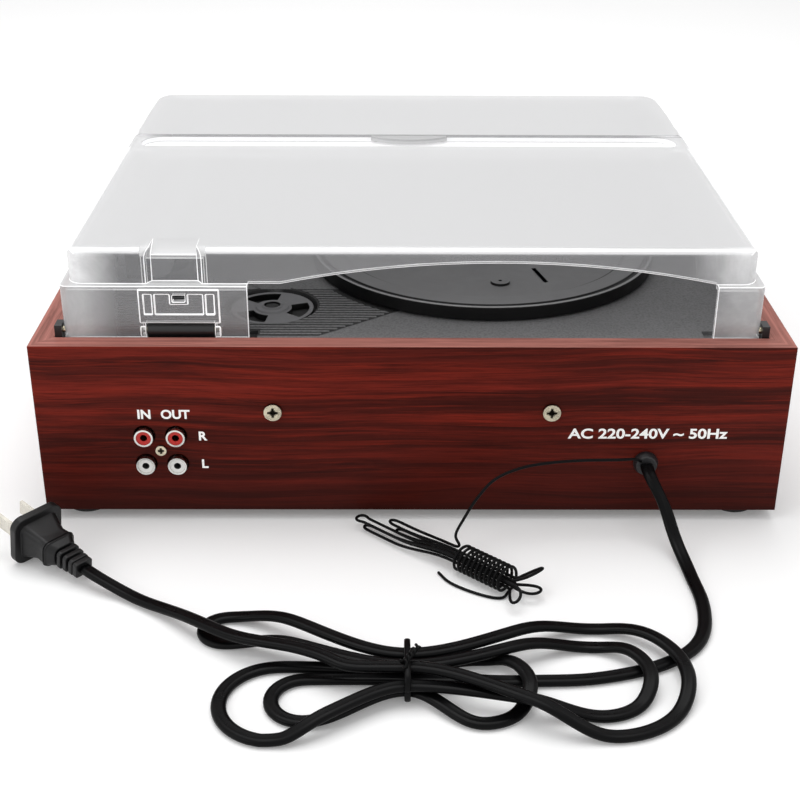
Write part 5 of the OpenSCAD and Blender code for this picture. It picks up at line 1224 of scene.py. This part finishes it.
class RECORD_PLAYER_OT_finishes(bpy.types.Operator):
    """Gives every shown solid its material"""

    bl_idname = "record_player.finishes"
    bl_label = "Finishes"

    def execute(self, context):
        finish = context.scene.record_player_finish
        # Painted shade: the tints below darken the sockets' insides, the screws' recesses and middles, the
        # standing faces of the platter and adapter and the low places between the deck's ribs; the platter's
        # rings also carry painted highlights
        hole = pit_shade(REAR + SOCKET_DEPTH)
        rows = (
            (timber("cherry across", finish, 0), "rear_panel front_panel"),
            (timber("cherry along", finish, math.pi / 2), "left_panel right_panel"),
            (plain_wood("plywood", shade(176, 138, 96)), "bottom_panel cleats"),
            (moulded("deck plastic", finish.deck, 0.62, grain=1100.0, relief=0.7, depth=0.2 * MM, tone=0.12,
                     tint=deck_speckle_and_rib_shade), "deck_plate"),
            (moulded("platter plastic", finish.platter, 0.42, grain=1600.0, relief=0.2, tone=0.1,
                     tint=platter_ring_shading, Specular_IOR_Level=0.25), "platter"),
            (moulded("adapter plastic", shade(122, 122, 124), 0.4, tone=0.12, tint=shaded_sides),
             "single_adapter"),
            (moulded("black plastic", shade(26, 26, 28), 0.38, tone=0.2),
             "cord_gland jack_board control_panel hinge_block pivot_brackets speaker_grilles"),
            (moulded("dark satin plastic", shade(52, 52, 54), 0.45, tone=0.15),
             "function_switch arm_base arm_rest arm_yoke arm_clip"),
            (moulded("silver plastic", shade(176, 178, 182), 0.3, relief=0.08, tone=0.06),
             "tonearm cue_lever speed_lever autostop_switch volume_knob function_knob tuning_knob"),
            (moulded("rubber", shade(24, 24, 24), 0.75, grain=1800.0, relief=0.4, tone=0.25),
             "feet drive_belt"),
            (moulded("red plastic", shade(196, 34, 24), 0.32, relief=0.1, tone=0.12), "dial_pointer"),
            (moulded("white plastic", shade(236, 235, 230), 0.34, relief=0.1, tone=0.05),
             "thrust_washer tuning_capacitor"),
            (moulded("red insert", shade(196, 30, 20), 0.32, relief=0.1, tone=0.12, tint=hole),
             "red_jack_inserts"),
            (moulded("white insert", shade(240, 239, 235), 0.34, relief=0.1, tone=0.05, tint=hole),
             "white_jack_inserts"),
            (moulded("plug body", shade(16, 16, 17), 0.42, grain=1400.0, relief=0.2, tone=0.25,
                     Specular_IOR_Level=0.3), "plug"),
            (moulded("lamp lens", shade(214, 40, 28), 0.18, relief=0.03, tone=0.08), "power_lamp"),
            (moulded("scale card", shade(226, 216, 188), 0.7, grain=2600.0, tone=0.06), "dial_scale"),
            (moulded("speaker paint", shade(86, 86, 88), 0.5), "speaker_frames"),
            (moulded("cone paper", shade(30, 30, 31), 0.9, grain=900.0, relief=0.7, tone=0.3),
             "speaker_cones"),
            (moulded("core varnish", shade(120, 86, 44), 0.5, grain=700.0, relief=0.5, tone=0.3),
             "transformer"),
            (moulded("board mask", shade(30, 92, 56), 0.35, grain=500.0, relief=0.3, tone=0.25),
             "main_board"),
            (moulded("cartridge plastic", shade(120, 24, 20), 0.3, tone=0.1), "cartridge"),
            (clear_window("dial window"), "dial_window"),
            (metal("zinc plate", shade(240, 230, 204), 0.26, tarnish=0.15, tint=screw_head_shade), "screws"),
            (metal("nickel plate", shade(222, 222, 218), 0.2, tarnish=0.12), "jack_shells headphone_socket"),
            (metal("cast alloy", shade(170, 170, 172), 0.38), "motor volume_pot lift_bar"),
            (metal("pin steel", shade(214, 204, 176), 0.3), "hinge_pins"),
            (metal("blade brass", shade(214, 210, 200), 0.28), "plug_blades"),
            (metal("spindle steel", shade(214, 215, 217), 0.16, (2000.0, 2000.0, 60.0), 0.08), "spindle"),
            (metal("turned brass", shade(200, 168, 92), 0.26, (90.0, 90.0, 3000.0), 0.2), "motor_pulley"),
        )
        worn = {node: material for material, nodes in rows for node in nodes.split()}
        missing = [n for n, o in frame["nodes"].items() if n not in worn and not o.hide_render]
        if missing:
            raise RuntimeError(f"no finish for {', '.join(sorted(missing))}")
        for node, material in worn.items():
            wear(bpy.data.objects.get(node + "_soft") or frame["nodes"][node], material)
        return {"FINISHED"}


class RECORD_PLAYER_PT_panel(bpy.types.Panel):
    """Lists the steps that dress the record player"""

    bl_idname = "RECORD_PLAYER_PT_panel"
    bl_label = "Record player"
    bl_space_type = "VIEW_3D"
    bl_region_type = "UI"
    bl_category = "Record player"

    def draw(self, context):
        for step in STEPS:
            self.layout.operator(step.bl_idname)
        for name in ("record_player_leads", "record_player_finish", "record_player_stage"):
            group = getattr(context.scene, name)
            for key in group.bl_rna.properties.keys():
                if key not in ("rna_type", "name"):
                    self.layout.prop(group, key)


SETTINGS = {
    "record_player_leads": LeadSettings,
    "record_player_finish": FinishSettings,
    "record_player_stage": StageSettings,
}
STEPS = (
    RECORD_PLAYER_OT_stage,
    RECORD_PLAYER_OT_mains_lead,
    RECORD_PLAYER_OT_aerial,
    RECORD_PLAYER_OT_tie,
    RECORD_PLAYER_OT_lettering,
    RECORD_PLAYER_OT_grille_cloth,
    RECORD_PLAYER_OT_soft_edges,
    RECORD_PLAYER_OT_lid,
    RECORD_PLAYER_OT_finishes,
    RECORD_PLAYER_OT_jack_rings,
)


def register():
    for name, group in SETTINGS.items():
        bpy.utils.register_class(group)
        setattr(bpy.types.Scene, name, bpy.props.PointerProperty(type=group))
    for part in (*STEPS, RECORD_PLAYER_PT_panel):
        bpy.utils.register_class(part)


def unregister():
    for part in reversed((*STEPS, RECORD_PLAYER_PT_panel)):
        bpy.utils.unregister_class(part)
    for name, group in reversed(SETTINGS.items()):
        delattr(bpy.types.Scene, name)
        bpy.utils.unregister_class(group)


def main():
    register()
    make_groups()
    bpy.ops.record_player.stage()
    bpy.ops.record_player.mains_lead()
    bpy.ops.record_player.aerial()
    bpy.ops.record_player.tie()
    bpy.ops.record_player.lettering()
    bpy.ops.record_player.grille_cloth()
    bpy.ops.record_player.soft_edges()
    bpy.ops.record_player.lid()
    bpy.ops.record_player.finishes()
    bpy.ops.record_player.jack_rings()


if __name__ == "__main__":
    main()
